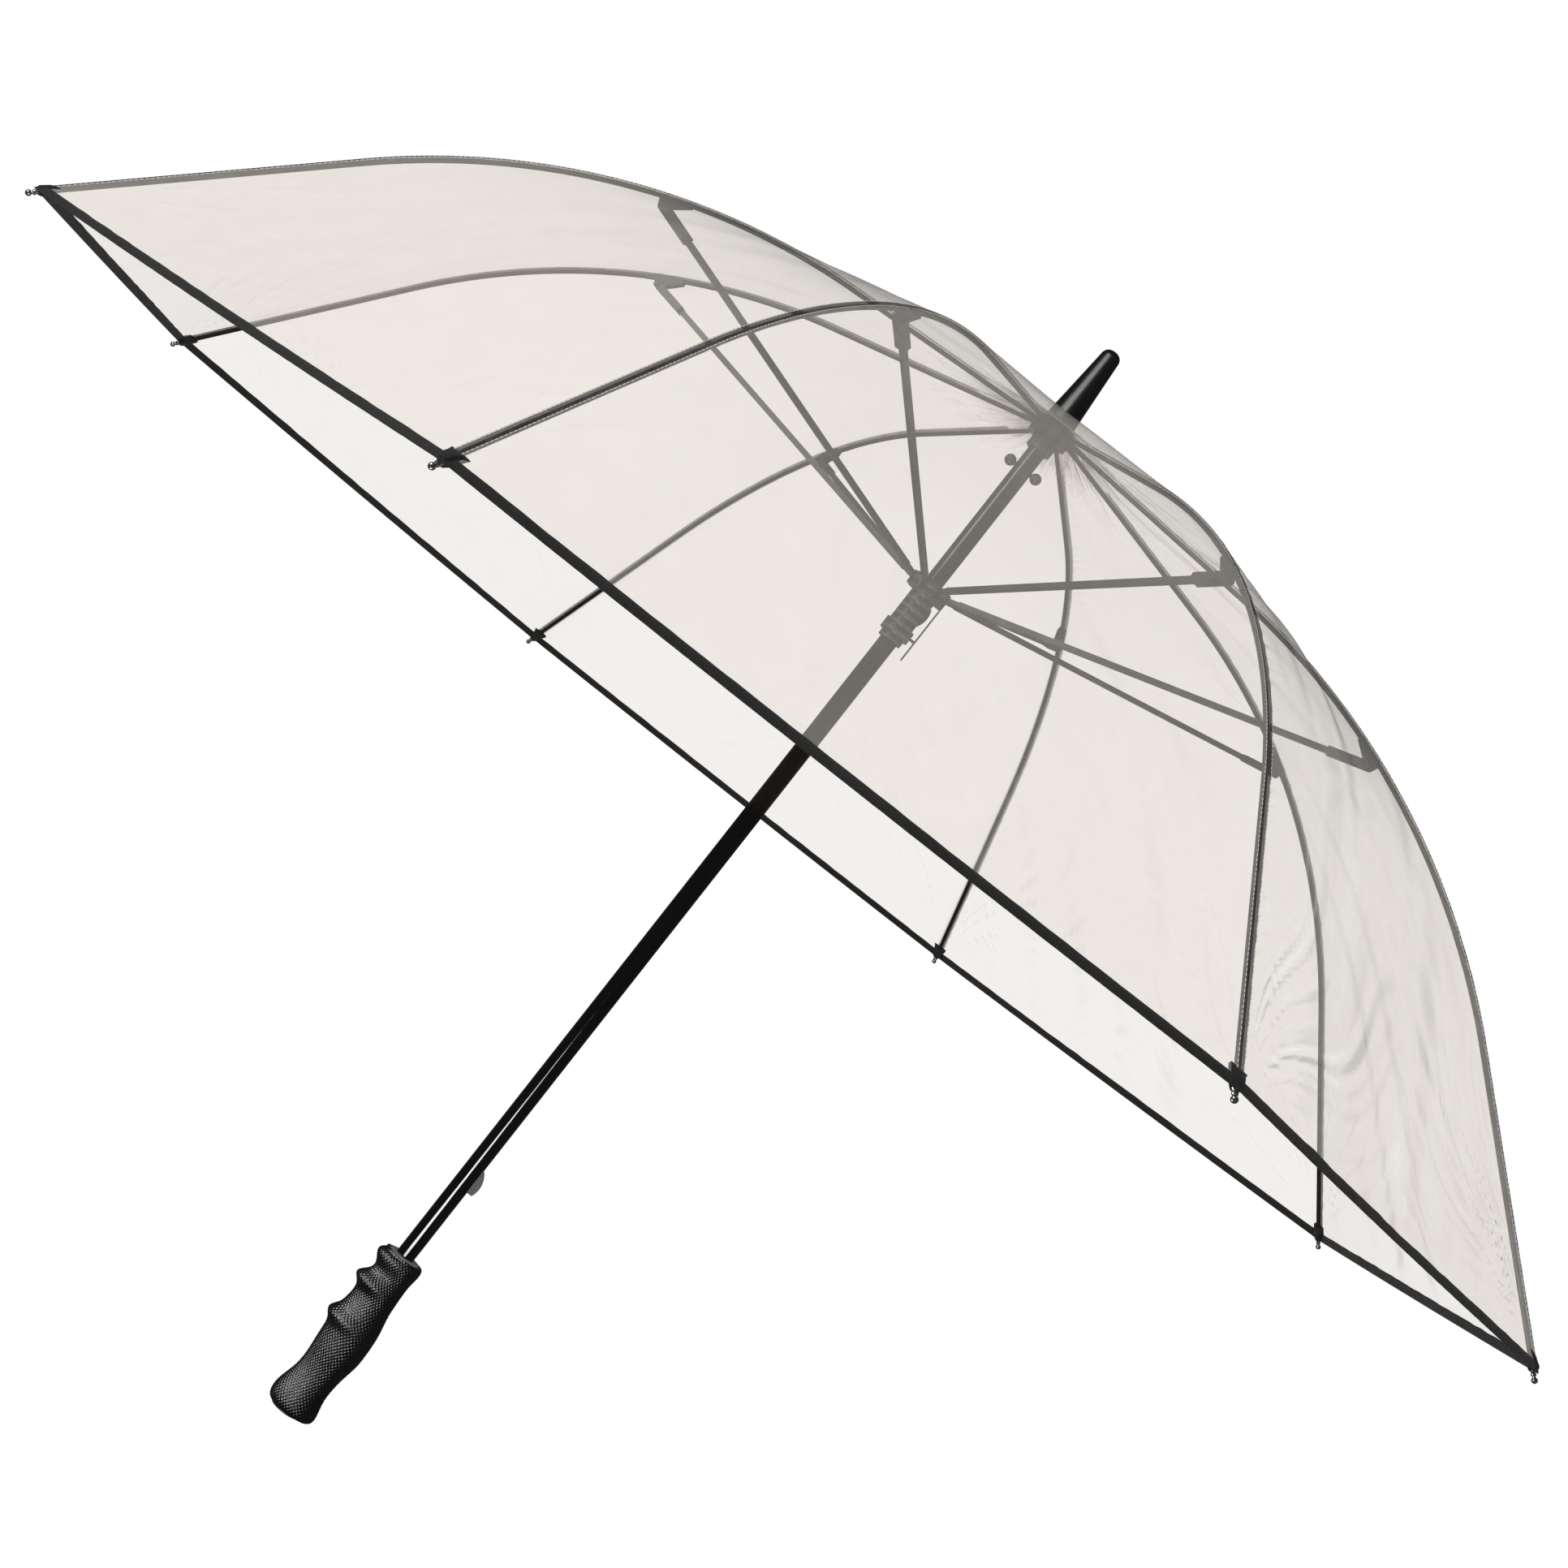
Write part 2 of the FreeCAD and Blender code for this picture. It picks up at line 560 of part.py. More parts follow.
def seam_strip():
    """Tape along the ridge over one rib, where two panels are welded together."""
    low = FILM_OVER_RIB + FILM_THICKNESS + 0.05
    inner = INNER_LINE.bar(SEAM_HALF_WIDTH, low, low + SEAM_THICKNESS, SEAM_START, INNER_LINE.length)
    outer_end = OUTER_LINE.length * FILM_END - BINDING_WIDTH - 1
    outer = OUTER_LINE.bar(SEAM_HALF_WIDTH, low, low + SEAM_THICKNESS, 0, outer_end)
    return inner.fuse(outer).removeSplitter()


def around(shape, first_azimuth):
    """shape repeated round the shaft, as separate solids of one node."""
    step = 360.0 / RIB_COUNT
    return Part.makeCompound([turned(shape, first_azimuth + step * count) for count in range(RIB_COUNT)])


# ---------------------------------------------------------------- all nodes

def main():
    """Write every node."""
    save(shaft(), "shaft")
    save(stop_pin(), "stop_pin")
    save(catch_springs(), "catch_springs")
    save(catch(UPPER_CATCH_Z, True), "upper_catch")
    save(catch(LOWER_CATCH_Z, False), "lower_catch")
    save(grip(), "grip")
    save(grip_collar(), "grip_collar")
    save(grip_end_plug(), "grip_end_plug")
    save(ferrule(), "ferrule")
    save(crown(), "crown")
    save(hinge_wire(CROWN_PIVOT_Z), "crown_wire")
    save(runner(), "runner")
    save(hinge_wire(RUNNER_PIVOT_Z), "runner_wire")
    save(catch_guard(), "catch_guard")
    save(around(film_panel(), 0), "canopy_film")
    save(around(hem_panel(), 0), "canopy_binding")
    save(around(seam_strip(), FIRST_RIB_AZIMUTH), "canopy_seams")
    rib_pieces = {
        "inner_rib": inner_rib(),
        "rib_bracket": bracket(),
        "outer_rib": outer_rib(),
        "tip_cap": tip_cap(),
        "stretcher": stretcher(),
    }
    for name, shape in rib_pieces.items():
        for number in range(1, RIB_COUNT + 1):
            save(turned(shape, azimuth(number)), "%s_%d" % (name, number))


main()
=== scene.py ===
"""Looks of the clear umbrella: film, tapes, grip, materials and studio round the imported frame, in metres."""

import json
import math

import bpy
import numpy as np
from mathutils import Matrix, Vector
from mathutils.bvhtree import BVHTree

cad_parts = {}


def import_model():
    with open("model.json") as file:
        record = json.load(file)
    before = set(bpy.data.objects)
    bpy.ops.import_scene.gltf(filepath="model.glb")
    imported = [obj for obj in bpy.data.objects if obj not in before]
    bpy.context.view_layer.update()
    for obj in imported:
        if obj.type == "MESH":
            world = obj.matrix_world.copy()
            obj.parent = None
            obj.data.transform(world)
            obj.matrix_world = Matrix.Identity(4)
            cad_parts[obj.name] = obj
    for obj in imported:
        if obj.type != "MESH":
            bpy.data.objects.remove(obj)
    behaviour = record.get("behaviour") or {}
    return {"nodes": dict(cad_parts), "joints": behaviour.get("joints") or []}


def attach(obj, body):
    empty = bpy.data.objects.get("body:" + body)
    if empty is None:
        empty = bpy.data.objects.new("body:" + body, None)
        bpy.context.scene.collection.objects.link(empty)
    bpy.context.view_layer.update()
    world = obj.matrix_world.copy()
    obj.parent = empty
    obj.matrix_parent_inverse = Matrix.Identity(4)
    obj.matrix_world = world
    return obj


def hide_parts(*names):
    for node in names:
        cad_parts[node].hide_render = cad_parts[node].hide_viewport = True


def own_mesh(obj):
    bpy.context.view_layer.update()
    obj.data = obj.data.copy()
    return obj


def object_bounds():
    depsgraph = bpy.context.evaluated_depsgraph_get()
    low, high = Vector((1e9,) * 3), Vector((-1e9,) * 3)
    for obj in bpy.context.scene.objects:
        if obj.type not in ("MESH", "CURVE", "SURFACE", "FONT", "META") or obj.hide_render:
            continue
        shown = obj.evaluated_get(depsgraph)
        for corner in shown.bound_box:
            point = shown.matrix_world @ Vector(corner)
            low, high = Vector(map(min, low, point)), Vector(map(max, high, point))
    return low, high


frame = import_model()
CAD_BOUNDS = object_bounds()
NODES = frame["nodes"]
JOINTS = {joint["name"]: joint for joint in frame["joints"]}

RIB_COUNT = 8
RIBS = range(1, RIB_COUNT + 1)
HALF_STEP = math.pi / RIB_COUNT

# ---------------------------------------------------------------- sizes that the CAD source also has
RIM = (0.645, 0.484)              # tip ball, as (radius, height)
RIB_FIRST_STRAIGHT = 0.178        # straight part of a rib next to the crown
RIB_FIRST_SLOPE = math.radians(8.3)
RIB_LAST_SLOPE = math.radians(46.0)
FILM_END = 0.990                  # share of the outer rib's length
GRIP_HALF_LENGTH = 0.067
COLLAR_RADIUS = 0.0124
PLUG_RADIUS = 0.0115

# ---------------------------------------------------------------- sizes of the soft goods
FILM_OVER_RIB = 0.0027            # from the rib's centre line
FILM_START = (0.0072, 0.8286)     # radius and height of its top edge, beside the ferrule
FILM_MEETS_RIB = 0.065            # along the rib from the crown's pivot
CROWN_LEAVE = (0.020, -0.0046)    # handle of the film's curve where it leaves the ferrule
CROWN_ARRIVE = 0.022              # length of its handle where it meets the rib
PANEL_SAG = 0.006                 # share of the distance between two ribs
EDGE_SCALLOP = 0.0015
TAPE_WIDTH = 0.0072
TAPE_HALF_THICKNESS = 0.00055
SEAM_HALF_WIDTH = 0.0042
SEAM_LIFT = 0.00035
SEAM_START = 0.060                # along the film from the ferrule
STITCH_PITCH = 0.0034
POCKET_OFF_EDGE = 0.0044          # the pocket's end stops this far short of the film's edge
ROW_PITCH = 0.0038
RIBSIDE_PITCH = 0.0026
RIBSIDE_WIDTH = 0.030             # beside each rib the film's points lie closer together
PANEL_PITCH = 0.007
FILM_OFF_FOLD = 0.0006            # the film stops this far short of the tape's fold

# How deep the wrinkles of a panel are. A panel lies between the rib of its number and the next one.
PANEL_WRINKLES = {1: 0.7, 2: 0.35, 3: 0.35, 4: 0.5, 5: 0.25, 6: 0.35, 7: 1.2, 8: 0.9}
SLACK_DEPTH = 0.0012
CROSS_SLACK_DEPTH = 0.0007
PUCKER_DEPTH = 0.00028
PUCKER_START = 0.005
PUCKER_REACH = 0.016
FAN_DEPTH = 0.0011
FAN_START = 0.03
FAN_RISE = 0.08
FAN_REACH = 0.13
FAN_SWAY = 0.10                   # how much its folds bend, and how fast with the distance from the tip
FAN_SWAY_RATE = 30.0
GATHER_DEPTH = 0.0006
GATHER_REACH = 0.09
CALM_EDGE = 0.03

TAPE_PITCH = 0.0032
TAPE_END_FADE = 0.02
# Half of the tape's section: share of its width past the edge, and share of its half thickness.
TAPE_SECTION = [(-1.0, 0.5), (-0.9, 0.95), (-0.5, 1.0), (-0.12, 1.0), (0.0, 0.8), (0.05, 0.0)]

SEAM_PITCH = 0.003
SEAM_OFFSETS = (0.0, 0.5, 0.75, 1.0)
SEAM_CORE = [0.0, 0.3, 1.0, 1.0, 1.0, 0.3, 0.0]
STITCH_ROW = 0.0026               # from the rib's plane to a row of stitches
STITCH_HALF_WIDTH = 0.00018
STITCH_TOP_RISE = 0.00026
STITCH_SIDE_RISE = 0.00002
STITCH_LIFT = 0.00004

# Stations of a tip pocket: place along the rib, half width and half thickness.
POCKET_STATIONS = [
    (-0.0105, 0.0066, 0.0010),
    (-0.0085, 0.0062, 0.0022),
    (-0.0055, 0.0052, 0.0032),
    (-0.003, 0.0046, 0.0036),
    (-0.001, 0.0042, 0.0036),
    (0.0008, 0.0038, 0.0035),
    (0.0022, 0.0033, 0.0032),
    (0.0026, 0.0025, 0.0025),
]
POCKET_AROUND = 28
POCKET_LIFT = 0.0004

# ---------------------------------------------------------------- sizes of the grip's knurling and the rivets
KNURL_AROUND = 288                # points round the grip
KNURL_ROW_PITCH = 0.00046         # between rings of points
KNURL_STARTS = 36
KNURL_CLIMB = 0.0034              # height between two grooves
KNURL_DEPTH = 0.00055
KNURL_FLAT = 0.55                 # share of the way to a groove's middle that stays uncut
KNURL_SLOPE = 0.35
KNURL_FADE = 0.002
GRIP_END_ROUND = 0.0003
GRIP_LIP = 0.0004
PLUG_LAP = 0.0005
BORE_DEPTH = 0.003
RAY_START = 0.06                  # outside the grip's widest place
RIVET_SEAT = 0.00285              # from the rib's plane to the head's foot
RIVET_AROUND = 20
RIVET_HEAD = [(0.0019, 0.0), (0.0018, 0.0003), (0.0013, 0.0006), (0.0006, 0.00075), (0.0001, 0.0008)]

# ---------------------------------------------------------------- colours of the film, and the studio
FILM_HAZE = 0.16
FILM_TINT = (0.922, 0.905, 0.888, 1.0)
# Painted shade of the film: edge on, on one side of each wrinkle and in the gathered folds at the crown.
FILM_PAINTED_SHADE = (0.20, 0.195, 0.185, 1.0)
# Painted highlight of the film, on one side of each wrinkle.
FILM_PAINTED_HIGHLIGHT = (0.98, 0.97, 0.95, 1.0)
FILM_COLOUR = (0.68, 0.635, 0.58, 1.0)
FILM_COLOUR_PALE = (0.76, 0.71, 0.66, 1.0)
SEAM_TINT = (0.86, 0.85, 0.83, 1.0)
WHITE = (1.0, 1.0, 1.0, 1.0)
WEAVE_SCALE = 520.0
THREAD_SCALE = 1500.0

STUDIO_DIM = 0.05                 # the studio's strength in reflections
FLOOR_HALF = 30.0
FLOOR_GAP = 0.012
CARD_PLACE = (-0.112, -0.70, 0)
CARD_TOP = 0.216
CARD_BOTTOM = -0.070
CARD_HALF_WIDTH = 0.20
CARD_STRENGTH = 24.0
CAMERA_PLACE = (-0.0686, -1.8061, 0.4085)
CAMERA_RIGHT = (0.7849, -0.0493, 0.6176)
CAMERA_UP = (-0.6191, -0.0223, 0.7850)
CAMERA_LENS = 57.77
CAMERA_SENSOR = 36.0
CAMERA_SHIFT = (0.0213, -0.0132)


def joint_place(name):
    """Where a joint stands at rest, as (azimuth, (radius, height))."""
    x, y, z = JOINTS[name]["pos_m"]
    return math.atan2(y, x), (math.hypot(x, y), z)


RIB_AZIMUTH = {number: joint_place("rib_fold_%d" % number)[0] for number in RIBS}
CROWN_PIVOT = joint_place("rib_fold_1")[1]
RIB_JOINT = joint_place("outer_rib_flex_1")[1]


class RibLine:
    """A rib's centre line: straight from the crown, one arc, and straight again to the tip.

    Its points are (radius, height), given by the distance along it from the crown's pivot. The arc's
    radius and the last straight's length follow from where the tip is.
    """

    def __init__(self, start, end):
        first, last = RIB_FIRST_SLOPE, RIB_LAST_SLOPE
        bend_start = np.array(start) + RIB_FIRST_STRAIGHT * np.array([math.cos(first), -math.sin(first)])
        gap = np.array(end) - bend_start
        over = math.sin(last) - math.sin(first)
        down = math.cos(first) - math.cos(last)
        size = over * math.sin(last) - down * math.cos(last)
        self.radius = (gap[0] * math.sin(last) + gap[1] * math.cos(last)) / size
        self.bend = self.radius * (last - first)
        self.length = RIB_FIRST_STRAIGHT + self.bend - (gap[1] * over + gap[0] * down) / size
        self.centre = bend_start - self.radius * np.array([math.sin(first), math.cos(first)])

    def slope(self, along):
        return RIB_FIRST_SLOPE + np.clip(along - RIB_FIRST_STRAIGHT, 0, self.bend) / self.radius

    def tangent(self, along):
        slope = self.slope(along)
        return np.stack([np.cos(slope), -np.sin(slope)], -1)

    def point(self, along, out=0.0):
        slope = self.slope(along)
        outward = np.stack([np.sin(slope), np.cos(slope)], -1)
        past = np.asarray(along) - RIB_FIRST_STRAIGHT
        straight = np.minimum(past, 0) + np.maximum(past - self.bend, 0)
        return self.centre + outward * (self.radius + out) + self.tangent(along) * straight[..., None]

    def facing(self, spot):
        """Distance along the line to the arc's point that is nearest to a place."""
        away = np.array(spot) - self.centre
        return RIB_FIRST_STRAIGHT + (math.atan2(away[0], away[1]) - RIB_FIRST_SLOPE) * self.radius


RIB = RibLine(CROWN_PIVOT, RIM)
JOINT_REACH = RIB.facing(RIB_JOINT)
FILM_REACH = JOINT_REACH + FILM_END * (RIB.length - JOINT_REACH)


# ---------------------------------------------------------------- the canopy's surface

def bezier(a, b, c, d, count):
    """Points of a cubic curve from a to d, with handles b and c."""
    t = np.linspace(0, 1, count)[:, None]
    return a * (1 - t) ** 3 + 3 * b * t * (1 - t) ** 2 + 3 * c * t * t * (1 - t) + d * t ** 3


def film_profile():
    """Points of the film above a rib from the ferrule to the rim, and how far along it the rib's joint is."""
    start = np.array(FILM_START)
    over = RIB.point(FILM_MEETS_RIB, FILM_OVER_RIB)
    arrive = over - RIB.tangent(FILM_MEETS_RIB) * CROWN_ARRIVE
    crown = bezier(start, start + CROWN_LEAVE, arrive, over, 40)
    inner = RIB.point(np.linspace(FILM_MEETS_RIB, JOINT_REACH, 120)[1:], FILM_OVER_RIB)
    outer = RIB.point(np.linspace(JOINT_REACH, FILM_REACH, 140)[1:], FILM_OVER_RIB)
    points = np.vstack([crown, inner, outer])
    along = np.concatenate([[0], np.cumsum(np.hypot(*np.diff(points, axis=0).T))])
    return points, along, along[len(crown) + len(inner) - 1]


PROFILE, PROFILE_ALONG, JOINT_ALONG = film_profile()
EDGE_ALONG = PROFILE_ALONG[-1]


def profile_at(along):
    """Radius and height of the film above a rib."""
    return np.interp(along, PROFILE_ALONG, PROFILE[:, 0]), np.interp(along, PROFILE_ALONG, PROFILE[:, 1])


def edge_at(across):
    """How far along the film its edge is, by the share of the way from one rib to the next."""
    return EDGE_ALONG - EDGE_SCALLOP * 4 * across * (1 - across)


def waves(rng, count, low, high):
    """Wave numbers and phases for a sum of sines."""
    return list(zip(rng.uniform(low, high, count), rng.uniform(0, 2 * math.pi, count)))


def total(sines, where):
    """Sum of sines, about as high for many of them as for one."""
    return sum(np.sin(number * where + phase) for number, phase in sines) / math.sqrt(len(sines))


def relief(panel, along, across, chord):
    """Height of the wrinkles: slack waves, puckers along the seams and folds that fan out of the tips."""
    rng = np.random.default_rng(100 + panel)
    middle = 4 * across * (1 - across)
    lateral = (across - 0.5) * chord
    height = SLACK_DEPTH * middle * total(waves(rng, 3, 18, 42), along + 0.6 * lateral)
    height += CROSS_SLACK_DEPTH * middle * total(waves(rng, 3, 50, 110), lateral + 0.35 * along)
    for side in (0, 1):
        from_rib = (across if side == 0 else 1 - across) * chord
        pucker = total(waves(rng, 4, 330, 560), along + 0.5 * from_rib)
        beside = np.exp(-from_rib / PUCKER_REACH) * np.clip(from_rib / PUCKER_START, 0, 1)
        height += PUCKER_DEPTH * pucker * beside
        from_edge = edge_at(across) - along
        reach = np.hypot(from_rib, from_edge)
        angle = np.arctan2(from_rib, from_edge)
        fan = total(waves(rng, 5, 24, 75), angle + FAN_SWAY * np.sin(FAN_SWAY_RATE * reach))
        inside = np.sqrt(np.clip(np.sin(angle), 0, 1))
        off_tip = np.clip((reach - FAN_START) / FAN_RISE, 0, 1)
        height += FAN_DEPTH * fan * off_tip * np.exp(-reach / FAN_REACH) * inside
    gather = total(waves(rng, 4, 20, 60), across)
    height += GATHER_DEPTH * gather * middle * np.exp(-along / GATHER_REACH)
    calm_edge = np.clip((edge_at(across) - along) / CALM_EDGE, 0, 1)
    return height * PANEL_WRINKLES[panel] * calm_edge


def creases(panel, along, across):
    """Slope of the wrinkles across a panel: positive on the side that faces the next rib. The film's painted
    highlight and painted shade follow it.
    """
    along, across = np.broadcast_arrays(np.asarray(along, float), np.asarray(across, float))
    chord = 2 * profile_at(along)[0] * math.sin(HALF_STEP)
    step = 0.001
    ahead = relief(panel, along, across + step / chord, chord)
    behind = relief(panel, along, across - step / chord, chord)
    return (ahead - behind) / (2 * step)


def film_points(panel, along, across, lift=0.0):
    """Points of a panel. along is the way from the ferrule over a rib.

    across is 0 on the panel's own rib and 1 on the next.
    """
    along, across = np.broadcast_arrays(np.asarray(along, float), np.asarray(across, float))
    radius, height = profile_at(along)
    first = RIB_AZIMUTH[panel]
    second = first + 2 * HALF_STEP
    middle = first + HALF_STEP
    chord = 2 * radius * math.sin(HALF_STEP)
    x = radius * ((1 - across) * math.cos(first) + across * math.cos(second))
    y = radius * ((1 - across) * math.sin(first) + across * math.sin(second))
    step = 0.0006
    within = np.clip(along, step, EDGE_ALONG - step)
    near = profile_at(within - step)
    far = profile_at(within + step)
    slope_out = (far[0] - near[0]) * math.cos(HALF_STEP)
    slope_up = far[1] - near[1]
    size = np.hypot(slope_out, slope_up)
    out, up = -slope_up / size, slope_out / size
    sag = PANEL_SAG * chord * 4 * across * (1 - across)
    lift = lift + relief(panel, along, across, chord) - sag
    x = x + lift * out * math.cos(middle)
    y = y + lift * out * math.sin(middle)
    return np.stack([x, y, height + lift * up], -1)


def unit(vectors):
    return vectors / np.linalg.norm(vectors, axis=-1, keepdims=True)


def film_normals(panel, along, across):
    """Outward normals of the wrinkled film, the same on both sides of a join between two pieces."""
    step = 0.0006
    share = 0.002
    down = film_points(panel, along + step, across) - film_points(panel, along - step, across)
    side = film_points(panel, along, across + share) - film_points(panel, along, across - share)
    return unit(np.cross(down, side))


def halves(number):
    """The two half panels at a rib: (panel, share on the rib, share in the panel's middle)."""
    before = RIB_COUNT if number == 1 else number - 1
    return (before, 1.0, 0.5), (number, 0.0, 0.5)


# ---------------------------------------------------------------- mesh helpers

def mesh_object(name, points, faces, material, smooth=True):
    """An object in the scene, made of points and faces, with one material."""
    mesh = bpy.data.meshes.new(name)
    mesh.from_pydata(np.asarray(points).reshape(-1, 3).tolist(), [], faces)
    mesh.update()
    for polygon in mesh.polygons:
        polygon.use_smooth = smooth
    mesh.materials.append(material)
    piece = bpy.data.objects.new(name, mesh)
    bpy.context.scene.collection.objects.link(piece)
    return piece


def grid_faces(rows, columns, first=0, closed=False):
    """Quads of a grid of points, row by row. A closed grid's last column joins its first."""
    faces = []
    for row in range(rows - 1):
        for column in range(columns if closed else columns - 1):
            beside = (column + 1) % columns
            a = first + row * columns + column
            b = first + row * columns + beside
            faces.append((a, b, b + columns, a + columns))
    return faces


def point_attribute(piece, name, values):
    attribute = piece.data.attributes.new(name, "FLOAT", "POINT")
    attribute.data.foreach_set("value", np.asarray(values, np.float32).ravel())


def joined(name, parts, material):
    """One object from several (points, faces) parts."""
    points, faces = [], []
    for part_points, part_faces in parts:
        offset = sum(len(p) for p in points)
        points.append(np.asarray(part_points).reshape(-1, 3))
        faces += [tuple(offset + index for index in face) for face in part_faces]
    return mesh_object(name, np.vstack(points), faces, material)


# ---------------------------------------------------------------- materials

class Shader:
    """A material's node tree, with short ways to add nodes."""

    def __init__(self, name):
        self.material = bpy.data.materials.new(name)
        self.material.use_nodes = True
        self.tree = self.material.node_tree
        self.tree.nodes.clear()
        self.output = self.add("ShaderNodeOutputMaterial")

    def add(self, kind, inputs=None, **settings):
        node = self.tree.nodes.new(kind)
        for key, value in settings.items():
            setattr(node, key, value)
        for key, value in (inputs or {}).items():
            if isinstance(value, bpy.types.NodeSocket):
                self.tree.links.new(value, node.inputs[key])
            else:
                node.inputs[key].default_value = value
        return node

    def place(self, scale=(1, 1, 1), turn=(0, 0, 0)):
        coordinates = self.add("ShaderNodeTexCoord").outputs["Object"]
        inputs = {"Vector": coordinates, "Scale": scale, "Rotation": turn}
        return self.add("ShaderNodeMapping", inputs).outputs[0]

    def noise(self, scale, detail=3.0, roughness=0.55, vector=None, distortion=0.0):
        inputs = {"Vector": vector or self.place(), "Scale": scale, "Detail": detail}
        inputs.update(Roughness=roughness, Distortion=distortion)
        return self.add("ShaderNodeTexNoise", inputs).outputs["Fac"]

    def fit(self, value, low, high, to_low, to_high, smooth=False):
        kind = "SMOOTHSTEP" if smooth else "LINEAR"
        inputs = {"Value": value, "From Min": low, "From Max": high, "To Min": to_low, "To Max": to_high}
        return self.add("ShaderNodeMapRange", inputs, interpolation_type=kind).outputs["Result"]

    def mix(self, share, low, high):
        node = self.add("ShaderNodeMix", data_type="RGBA")
        for socket, value in ((node.inputs[0], share), (node.inputs[6], low), (node.inputs[7], high)):
            if isinstance(value, bpy.types.NodeSocket):
                self.tree.links.new(value, socket)
            else:
                socket.default_value = value
        return node.outputs[2]

    def maths(self, operation, first, second=0.0):
        node = self.add("ShaderNodeMath", operation=operation)
        for socket, value in zip(node.inputs, (first, second)):
            if isinstance(value, bpy.types.NodeSocket):
                self.tree.links.new(value, socket)
            else:
                socket.default_value = value
        return node.outputs[0]

    def bump(self, height, strength, distance):
        inputs = {"Height": height, "Strength": strength, "Distance": distance}
        return self.add("ShaderNodeBump", inputs).outputs[0]

    def attribute(self, name):
        return self.add("ShaderNodeAttribute", attribute_name=name).outputs["Fac"]

    def surface(self, socket):
        self.tree.links.new(socket, self.output.inputs["Surface"])
        return self.material

    def principled(self, **inputs):
        named = {key.replace("_", " "): value for key, value in inputs.items()}
        return self.add("ShaderNodeBsdfPrincipled", named)

    def added(self, parts):
        """The sum of several values."""
        share = parts[0]
        for part in parts[1:]:
            share = self.maths("ADD", share, part)
        return share

    def see_through(self, share, bsdf, tint):
        """A surface that covers only a share of the film, and lets tinted light through elsewhere."""
        clear = self.add("ShaderNodeBsdfTransparent", {"Color": tint})
        mixed = self.add("ShaderNodeMixShader", {0: share, 1: clear.outputs[0], 2: bsdf.outputs[0]})
        return self.surface(mixed.outputs[0])


def grey(value, warmth=0.0):
    """A linear grey. Warmth moves it towards brown."""
    return (value * (1 + warmth), value, value * (1 - warmth), 1.0)


def lacquer(name, base, roughness, spread=0.08, along=(1, 1, 1), worn=0.02):
    """Gloss paint or polish on metal: faint streaks in its gloss, orange peel and small rubbed spots."""
    shader = Shader(name)
    streaks = shader.noise(900, 2.0, vector=shader.place(along))
    clouds = shader.noise(22, 3.0)
    spots = shader.fit(shader.noise(420, 4.0, 0.7), 0.66, 0.74, 0, 1)
    colour = shader.mix(shader.fit(clouds, 0.3, 0.7, 0, 1), grey(base, 0.08), grey(base * 1.6, 0.08))
    colour = shader.mix(shader.maths("MULTIPLY", spots, 0.5), colour, grey(worn, 0.05))
    rough = shader.fit(streaks, 0.3, 0.7, roughness - spread / 2, roughness + spread / 2)
    normal = shader.bump(streaks, 0.10, 0.0002)
    return shader.surface(shader.principled(Base_Color=colour, Roughness=rough, Normal=normal).outputs[0])


def moulded(name, base, roughness, grain=1600, depth=0.25, worn=0.03):
    """Moulded plastic or rubber: fine grain, uneven gloss and paler rubbed places."""
    shader = Shader(name)
    fine = shader.noise(grain, 3.0, 0.6)
    clouds = shader.noise(35, 4.0, 0.6)
    colour = shader.mix(shader.fit(clouds, 0.35, 0.75, 0, 1), grey(base, 0.06), grey(base * 1.8, 0.06))
    colour = shader.mix(shader.fit(fine, 0.62, 0.8, 0, 0.5), colour, grey(worn, 0.04))
    rough = shader.fit(clouds, 0.3, 0.7, roughness - 0.07, roughness + 0.07)
    normal = shader.bump(fine, depth, 0.0002)
    return shader.surface(shader.principled(Base_Color=colour, Roughness=rough, Normal=normal).outputs[0])


def ringed(name, base, roughness, pitch):
    """Moulded plastic with turned rings one above the other, the rings' crests painted paler as a painted
    highlight.
    """
    shader = Shader(name)
    coordinates = shader.add("ShaderNodeTexCoord").outputs["Object"]
    height = shader.add("ShaderNodeSeparateXYZ", {0: coordinates}).outputs["Z"]
    turn = shader.maths("MULTIPLY", height, 2 * math.pi / pitch)
    ring = shader.fit(shader.maths("SINE", turn), -0.2, 0.6, 0.0, 1.0, smooth=True)
    grain = shader.noise(1500, 3.0, 0.6)
    # Painted highlight: the rings' crests are painted paler than the grooves between them.
    colour = shader.mix(ring, grey(base, 0.06), grey(base * 7, 0.05))
    rough = shader.fit(grain, 0.3, 0.7, roughness - 0.06, roughness + 0.06)
    normal = shader.bump(shader.maths("ADD", ring, shader.maths("MULTIPLY", grain, 0.05)), 0.6, 0.0006)
    return shader.surface(shader.principled(Base_Color=colour, Roughness=rough, Normal=normal).outputs[0])


def plated(name, base, roughness):
    """Bright metal with drawing lines and a little tarnish."""
    shader = Shader(name)
    lines = shader.noise(2600, 2.0)
    tarnish = shader.noise(160, 4.0, 0.65)
    colour = shader.mix(shader.fit(tarnish, 0.45, 0.75, 0, 1), grey(base, 0.01), grey(base * 0.55, 0.05))
    rough = shader.fit(tarnish, 0.35, 0.7, roughness, roughness + 0.18)
    normal = shader.bump(lines, 0.12, 0.0001)
    bsdf = shader.principled(Base_Color=colour, Roughness=rough, Normal=normal, Metallic=1.0)
    return shader.surface(bsdf.outputs[0])


